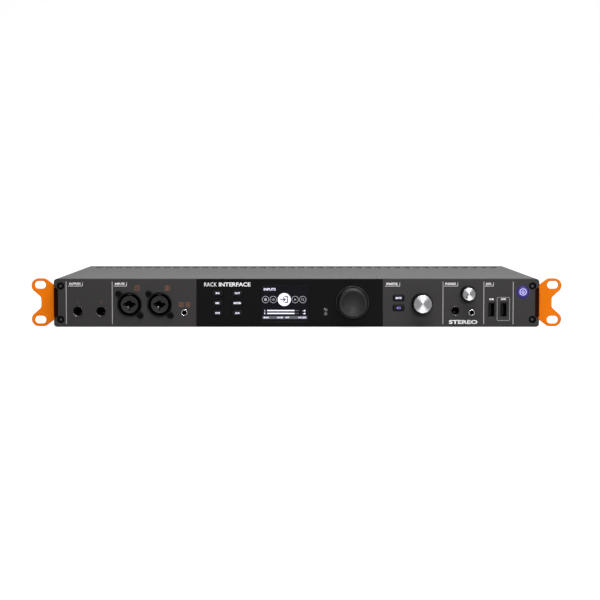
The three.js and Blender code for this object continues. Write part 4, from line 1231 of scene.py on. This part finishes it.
def build_cover():
    """A folded channel with bent corners, and a row of vent slots along the back of its top."""
    half, end = cover_high.x / MM, cover_high.y / MM
    height = (cover_high.z - cover_low.z) / MM
    outer = [(-half, -height), (-half, 0), (half, 0), (half, -height)]
    inner = [(half - SHEET, -height), (half - SHEET, -SHEET), (SHEET - half, -SHEET)]
    inner += [(SHEET - half, -height)]
    section = soften(outer, BEND, 6) + soften(inner, BEND - SHEET / 2, 6)
    channel = plate(section, [], -end, end)
    channel.transform(Matrix(((1, 0, 0, 0), (0, 0, 1, 0), (0, -1, 0, 0), (0, 0, 0, 1))))
    slots = bmesh.new()
    slot_v = end - VENT_FROM_BACK - VENT_LENGTH / 2
    for i in range(VENTS):
        u = (i - (VENTS - 1) / 2) * VENT_PITCH
        add_plate(slots, rounded_rect((u, slot_v), VENT_WIDTH, VENT_LENGTH, 3.1, 8), [], -1, 3)
    cover = combined(channel, slots, "DIFFERENCE")
    piece("cover", cover, TOP, COVER_PAINT, stands_for=["top_cover"])


def build_tray():
    """The floor with its two upstands, pierced for the board's screws."""
    _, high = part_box("bottom_tray")
    half, end, height = high.x / MM, high.y / MM, high.z / MM
    stand_v = end - STAND_OFF_INSET
    stand_offs = [(su * STAND_OFF_U, sv * stand_v) for su in (-1, 1) for sv in (-1, 0, 1)]
    corners = [Vector((su * half, sv * end)) for su, sv in ((-1, -1), (1, -1), (1, 1), (-1, 1))]
    bm = plate(corners, [circle(c, BOARD_SCREW_HOLE, 24) for c in stand_offs], 0, SHEET, 0.3)
    outer = half - SHEET - 0.1
    wall = [(outer - SHEET, -end), (outer, -end), (outer, end), (outer - SHEET, end)]
    for side in (-1, 1):
        add_plate(bm, [Vector((side * u, v)) for u, v in wall], [], SHEET - 0.1, height)
    for centre in stand_offs:
        add_tube(bm, 3.0, BOARD_SCREW_HOLE, SHEET - 0.05, STAND_OFF_TALL, 0.1, 24, centre)
    piece("tray", bm, UNDERSIDE, COVER_PAINT, stands_for=["bottom_tray"])
    for i, centre in enumerate(stand_offs, start=1):
        socket_screw(f"board_screw_{i}", moved(UNDERSIDE, centre), 2.6, (-0.02, 0.75), 5.5)


# ---------------------------------------------------------------- rack ears

EAR_THICK, EAR_HALF, EAR_LOBE = 3.0, 15.0, 6.5
EAR_WAIST, EAR_WAIST_HALF = 8.8, 4.6
RACK_SLOT_U, RACK_SLOT_V, RACK_SLOT_LENGTH, RACK_SLOT_WIDTH = 233.3, 15.875, 10.3, 7.0
EAR_SCREW_HOLE, EAR_SCREW_HEAD = 2.2, 3.6


def side_middle(node):
    """The middle of a node as seen from the side."""
    low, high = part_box(node)
    return Vector(((low.y + high.y) / 2 / MM, ((low.z + high.z) / 2 - MID_Z) / MM))


def ear_outline():
    """The plate of the right ear: two slotted lobes with a waist between them."""
    root, tip, _, top = extent("right_rack_ear")
    lobe_u, waist = tip - EAR_LOBE, tip - EAR_WAIST
    upper = soften([(root, EAR_HALF), (tip - 12.6, top), (lobe_u, top)], 2.0, 5)
    upper += arc(lobe_u, top - EAR_LOBE, EAR_LOBE, 90, -45, 24)[1:]
    upper += soften([upper[-1], (waist, EAR_WAIST_HALF), (waist, 0)], 1.8, 5)[1:-1]
    return upper + [Vector((p.x, -p.y)) for p in reversed(upper)]


def ear_plate(side, front):
    """The slotted plate of an ear, in the frame."""
    loops = [ear_outline()]
    for v in (-RACK_SLOT_V, RACK_SLOT_V):
        corner = RACK_SLOT_WIDTH / 2 - 0.01
        loops.append(rounded_rect((RACK_SLOT_U, v), RACK_SLOT_LENGTH, RACK_SLOT_WIDTH, corner, 12))
    loops = [[Vector((side * p.x, p.y)) for p in loop] for loop in loops]
    bm = plate(loops[0], loops[1:], front, front + EAR_THICK, 0.5, 4)
    bm.transform(FRONT)
    return bm


def build_ear(side):
    """An L bracket: the slotted plate in front, and a flange screwed to the side of the chassis."""
    hand = "right" if side > 0 else "left"
    node = f"{hand}_rack_ear"
    screws = [f"{hand}_ear_screw_{i}" for i in (1, 2)]
    front, back = depths(node)
    outer_face = side_place(side, (extent("right_rack_ear")[0] + EAR_THICK) * MM)
    start, end = FACE_Y / MM + front + 0.1, FACE_Y / MM + back
    corner = [(start, -EAR_HALF), (end - 9, -EAR_HALF), (end, 6 - EAR_HALF), (end, EAR_HALF - 6)]
    corner += [(end - 9, EAR_HALF), (start, EAR_HALF)]
    holes = [circle(side_middle(n), EAR_SCREW_HOLE, 32) for n in screws]
    flange = plate(soften(corner, 2.0, 5), holes, 0, EAR_THICK, 0.4, 4)
    flange.transform(outer_face)
    bracket = combined(ear_plate(side, front), flange, "UNION")
    piece(f"{node}_bracket", bracket, Matrix.Identity(4), EAR_PAINT, stands_for=[node],
          crisp=40)
    for screw in screws:
        matrix = moved(outer_face, side_middle(screw))
        socket_screw(f"{screw}_head", matrix, EAR_SCREW_HEAD, (-2.1, -0.1), 6.0, [screw], 1.2)


# ---------------------------------------------------------------- the rear

LINE_COLUMNS = 8
REAR_ROWS, OPTICAL_ROWS = (-8.6, 9.0), (-6.5, 7.5)
LINE_NOSE, OPTICAL_SIZE, INLET_INSERT = 4.8, 10.0, 5.1
USB_C_V, INLET_V = -9.5, -3.0
REAR_SCREWS = ((-205, -15.5), (-205, 16), (-92, 16), (-38, -15.5), (34, 16), (34, -15.5),
               (203, -15.5), (203, 16))


def rear_middle(node):
    low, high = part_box(node)
    return Vector((-(low.x + high.x) / 2 / MM, ((low.z + high.z) / 2 - MID_Z) / MM))


def rear_half_width(node):
    low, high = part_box(node)
    return (high.x - low.x) / 2 / MM


def rear_outline(node, corner, steps=5):
    """The outline of a node as seen from behind."""
    low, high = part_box(node)
    return rounded_rect(rear_middle(node), 2 * rear_half_width(node), (high.z - low.z) / MM, corner, steps)


def rear_block(name, node, holes):
    """The housing of a bank of sockets, behind the panel."""
    depth = (rear_high.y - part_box(node)[0].y) / MM
    block = plate(rear_outline(node, 0.6, 3), holes, 1.3, depth, 0.3)
    piece(name, block, REAR, JACK_BLACK, stands_for=[node])


def line_places():
    centre, half = rear_middle("rear_line_jacks").x, rear_half_width("rear_line_jacks")
    pitch = 2 * half / LINE_COLUMNS
    columns = [centre + (i - (LINE_COLUMNS - 1) / 2) * pitch for i in range(LINE_COLUMNS)]
    return [(u, v) for v in reversed(REAR_ROWS) for u in columns]


def build_line_jacks():
    """Two rows of quarter-inch jacks with nuts round their noses and plated sleeves inside."""
    noses, rings, springs = bmesh.new(), bmesh.new(), bmesh.new()
    profile = [(JACK_BORE, 20), (JACK_BORE, 0.5), (3.9, -0.6), (LINE_NOSE, -0.6), (LINE_NOSE, 20)]
    for at in line_places():
        add_turned(noses, soften(profile, 0.25), 48, True, at)
        add_tube(rings, 6.4, LINE_NOSE + 0.05, -0.45, 0.0, 0.12, 6, at)
        add_tube(springs, JACK_BORE - 0.02, JACK_BORE - 0.25, 2.5, 5.0, 0.08, 32, at)
    piece("line_jack_noses", noses, REAR, JACK_BLACK)
    piece("line_jack_nuts", rings, REAR, NICKEL)
    piece("line_jack_sleeves", springs, REAR, NICKEL)
    rear_block("line_jack_block", "rear_line_jacks", [circle(c, JACK_BORE, 48) for c in line_places()])


def optical_places():
    centre, half = rear_middle("optical_ports").x, rear_half_width("optical_ports")
    return [(centre + s * half / 2, v) for v in reversed(OPTICAL_ROWS) for s in (-1, 1)]


def square(centre, size, corner):
    return rounded_rect(centre, size, size, corner)


def build_optical():
    """Square sockets with a sprung shutter in each mouth."""
    noses, shutters = bmesh.new(), bmesh.new()
    size = OPTICAL_SIZE
    for centre in optical_places():
        add_plate(noses, square(centre, size, 0.9), [square(centre, size - 2, 0.8)], -0.4, 8, 0.25)
        add_plate(shutters, square(centre, size - 2.3, 0.6), [], 0.7, 1.2, 0.15)
        grip = rounded_rect((centre[0], centre[1] - 2.6), 3.4, 0.5, 0.2)
        add_plate(shutters, grip, [], 0.4, 0.8, 0.1)
    piece("optical_noses", noses, REAR, JACK_BLACK)
    piece("optical_shutters", shutters, REAR, INSERT_GREY)
    rear_block("optical_block", "optical_ports", [square(c, size - 2, 0.6) for c in optical_places()])


def build_clock_sockets():
    """Two bayonet coaxial sockets with flange nuts, lugs, white insulators and gold centres."""
    u = rear_middle("word_clock_sockets").x
    shells, insulators, centres = bmesh.new(), bmesh.new(), bmesh.new()
    shell = [(3.9, 1.0), (3.9, -11), (4.5, -11), (4.8, -10.6), (4.8, -1.4), (4.8, 1.0)]
    for v in REAR_ROWS:
        at = (u, v)
        add_turned(shells, soften(shell, 0.15), 48, True, at)
        add_tube(shells, 6.9, 4.85, -1.4, -0.02, 0.2, 6, at)
        for side in (-1, 1):
            lug = rounded_rect((u + side * 5.2, v), 1.3, 1.5, 0.4)
            add_plate(shells, lug, [], -9.6, -8.1, 0.2)
        add_tube(insulators, 3.85, 1.0, -1.9, 1.0, 0.15, 40, at)
        add_tube(insulators, 2.3, 1.0, -8.5, -1.8, 0.15, 32, at)
        add_tube(centres, 0.98, 0.5, -8.9, 0.5, 0.1, 24, at)
    piece("clock_shells", shells, REAR, NICKEL)
    piece("clock_insulators", insulators, REAR, TEFLON)
    piece("clock_centres", centres, REAR, GOLD)
    rear_block("clock_base", "word_clock_sockets", [])


def build_usb_c():
    """A small flat port: a plated shell, a tongue and contacts on both its faces."""
    centre = (rear_middle("usb_c_port").x, USB_C_V)
    inner = rounded_rect(centre, 8.3, 2.6, 1.25, 8)
    shell = plate(rounded_rect(centre, 9.0, 3.3, 1.6, 8), [inner], 0.3, 9, 0.1)
    piece("usb_c_shell", shell, REAR, NICKEL, stands_for=["usb_c_port"])
    inside = plate(rounded_rect(centre, 6.6, 0.7, 0.3), [], 1.2, 8, 0.1)
    add_plate(inside, inner, [], 7.5, 8.9)
    piece("usb_c_tongue", inside, REAR, PORT_BLACK)
    contacts = bmesh.new()
    for i in range(8):
        for side in (-1, 1):
            at = (centre[0] - 2.45 + 0.7 * i, centre[1] + side * 0.36)
            add_plate(contacts, rounded_rect(at, 0.35, 0.06, 0.02, 1), [], 2.0, 7)
    piece("usb_c_contacts", contacts, REAR, GOLD)


def build_inlet():
    """The locking power inlet: a nickel shell with a black insert and four pins."""
    centre = (rear_middle("power_inlet").x, INLET_V)
    shell = tube(6.0, INLET_INSERT, -2.2, 1.5, 0.25, 64, centre)
    insert, pins = bmesh.new(), bmesh.new()
    wall = INLET_INSERT - 0.02
    profile = [(0, 9), (4.6, 9), (4.6, -1.6), (wall, -1.9), (wall, 9.5), (0, 9.5)]
    add_turned(insert, soften(profile, 0.12), centre=centre)
    profile = [(0, 0.0), (0.6, 0.3), (0.6, 9.2), (0, 9.2)]
    for su in (-1, 1):
        for sv in (-1, 1):
            at = (centre[0] + 1.7 * su, centre[1] + 1.7 * sv)
            add_turned(pins, soften(profile, 0.15), 20, centre=at)
    piece("inlet_shell", shell, REAR, DARK_NICKEL)
    piece("inlet_insert", insert, REAR, JACK_BLACK)
    piece("inlet_pins", pins, REAR, GOLD)
    rear_block("inlet_block", "power_inlet", [circle(centre, INLET_INSERT)])


def build_rear_panel():
    """The panel behind, a flat plate with an opening for each socket, and the screws that hold it."""
    clock_u, usb_u = rear_middle("word_clock_sockets").x, rear_middle("usb_c_port").x
    holes = [circle(c, LINE_NOSE + 0.1, 48) for c in line_places()]
    holes += [square(c, OPTICAL_SIZE + 0.2, 1.0) for c in optical_places()]
    holes += [circle((clock_u, v), 5.0) for v in REAR_ROWS]
    holes += [rounded_rect((usb_u, USB_C_V), 9.6, 3.9, 1.9, 8)]
    holes += [circle((rear_middle("power_inlet").x, INLET_V), 6.2, 64)]
    holes += [circle(c, 1.7, 20) for c in REAR_SCREWS]
    bm = plate(rear_outline("rear_panel", 0.6), holes, 0, SHEET, 0.15)
    piece("rear_plate", bm, REAR, COVER_PAINT, stands_for=["rear_panel"])
    for i, centre in enumerate(REAR_SCREWS, start=1):
        socket_screw(f"rear_screw_{i}", moved(REAR, centre), 2.7, (-0.9, -0.02), 4.0, crown=0.6)


def print_rear_marks():
    ink = Ink()
    for i, (u, v) in enumerate(line_places(), start=1):
        ink.centred(str(i), u, v + (-7.6 if v > 0 else 7.4), 1.7)
    for text, v in (("LINE OUT 1-8", 18.2), ("LINE IN 9-16", -18.2)):
        ink.centred(text, 112, v, 1.6, weight=0.01)
    for text, node, v in (("OPTICAL", "optical_ports", 16.6), ("DATA", "usb_c_port", -4.4),
                          ("CLOCK", "word_clock_sockets", 0.2), ("POWER", "power_inlet", 7.4)):
        ink.centred(text, rear_middle(node).x, v, 1.9, weight=0.01)
    ink.done("rear_words", WHITE_PRINT, REAR)


def dress_cad_nodes():
    """CAD parts whose shape is right keep it, and get a finish; the inner front plate gets the notches'
    painted shade.
    """
    finishes = {
        BOARD_GREEN: ("main_board", "control_board"),
        # The inner front plate shows through the ear notches, so it carries their painted shade.
        PAINTED_NOTCH_SHADE: ("inner_front_plate",),
        JACK_BLACK: ("display_module", "nav_plunger"),
        BLACK_STEEL: ("nav_encoder", "monitor_encoder", "phones_pot"),
        NICKEL: ("nav_shaft", "monitor_shaft", "phones_shaft"),
    }
    for material, nodes in finishes.items():
        for node in nodes:
            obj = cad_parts[node]
            obj.data.materials.clear()
            obj.data.materials.append(material)


# ---------------------------------------------------------------- studio

CAMERA_DISTANCE, CAMERA_ABOVE, CAMERA_SIDE = 1.579, 0.1021, -0.0014
CAMERA_PITCH, CAMERA_SHIFT = 3.606, 5 / 600
LENS, SENSOR = 104.75, 36
SWEEP_HALF, SWEEP_BACK, SWEEP_RADIUS, SWEEP_TOP = 4.0, 1.6, 0.8, 4.0
SWEEP_DROP = 0.0003


def build_camera():
    data = bpy.data.cameras.new("camera")
    data.lens = LENS
    data.sensor_width = SENSOR
    data.shift_x = CAMERA_SHIFT
    data.clip_end = 50
    camera = bpy.data.objects.new("camera", data)
    camera.location = (CAMERA_SIDE, FACE_Y - CAMERA_DISTANCE, MID_Z + CAMERA_ABOVE)
    camera.rotation_euler = (math.radians(90 - CAMERA_PITCH), 0, 0)
    bpy.context.scene.collection.objects.link(camera)
    bpy.context.scene.camera = camera


def softbox(name, location, target, width, height, power):
    data = bpy.data.lights.new(name, "AREA")
    data.shape = "RECTANGLE"
    data.size, data.size_y = width, height
    data.energy = power
    light = bpy.data.objects.new(name, data)
    light.location = location
    aim = Vector(target) - Vector(location)
    light.rotation_euler = aim.to_track_quat("-Z", "Y").to_euler()
    bpy.context.scene.collection.objects.link(light)


def build_sweep():
    """A floor that curves up into a backdrop."""
    profile = [(-SWEEP_HALF, 0.0), (SWEEP_BACK, 0.0)]
    for point in arc(SWEEP_BACK, SWEEP_RADIUS, SWEEP_RADIUS, -80, 0, 8):
        profile.append(tuple(point))
    profile.append((SWEEP_BACK + SWEEP_RADIUS, SWEEP_TOP))
    bm = bmesh.new()
    ends = (-SWEEP_HALF, SWEEP_HALF)
    rows = [[bm.verts.new((x, y, z - SWEEP_DROP)) for x in ends] for y, z in profile]
    for a, b in zip(rows, rows[1:]):
        bm.faces.new((a[0], a[1], b[1], b[0]))
    mesh = bpy.data.meshes.new("studio_sweep")
    bm.to_mesh(mesh)
    bm.free()
    for polygon in mesh.polygons:
        polygon.use_smooth = True
    mesh.materials.append(studio("studio_white", (0.3, 0.3, 0.3, 1), 0.86, 0.14))
    sweep = bpy.data.objects.new("studio_sweep", mesh)
    bpy.context.scene.collection.objects.link(sweep)


def build_studio():
    """The sweep, four softboxes, and a world that is white to the camera and dim as a light."""
    build_sweep()
    softbox("key_above", (0.3, -0.6, 1.5), (0, -0.05, 0), 1.2, 0.45, 37)
    softbox("front_strip", (0.24, -1.95, 0.52), (0.1, -0.1, 0), 0.8, 0.22, 17)
    softbox("front_right", (1.4, -1.4, 0.8), (0.1, -0.1, 0), 0.6, 0.6, 1.5)
    softbox("back_wash", (-0.2, 1.0, 1.3), (0, 0, 0), 1.6, 0.6, 7)
    world = bpy.data.worlds.new("studio_air")
    world.use_nodes = True
    background = world.node_tree.nodes["Background"]
    background.inputs["Color"].default_value = (1, 1, 1, 1)
    level = to_camera(world.node_tree, 1.0, 0.09)
    world.node_tree.links.new(level, background.inputs["Strength"])
    bpy.context.scene.world = world
    bpy.context.scene.view_settings.view_transform = "Standard"
    bpy.context.scene.view_settings.look = "None"


# ---------------------------------------------------------------- everything

build_panel()
build_fascia()
build_front_screws()
for jack in JACK_NOSE:
    build_jack(jack)
for mini in mini_at:
    build_mini_jack(mini)
for combo in combo_at:
    build_combo(combo)
for port in usb_at:
    build_usb(port)
build_nav_knob()
for knob in ("monitor_knob", "phones_knob"):
    spun = spun_metal(f"{knob}_spun", f"{knob}_cap", srgb(182, 182, 184))
    build_capped_knob(knob, spun)
for button in bar_buttons:
    build_bar_button(button)
build_round_button("back_button", BACK_BUTTON, LABEL_GREY)
build_round_button("power_button", POWER_BUTTON, power_material())
print_sections()
print_small_marks()
print_button_marks()
build_screen()
build_cover()
build_tray()
build_ear(-1)
build_ear(1)
build_rear_panel()
build_line_jacks()
build_optical()
build_clock_sockets()
build_usb_c()
build_inlet()
print_rear_marks()
dress_cad_nodes()
build_studio()
build_camera()
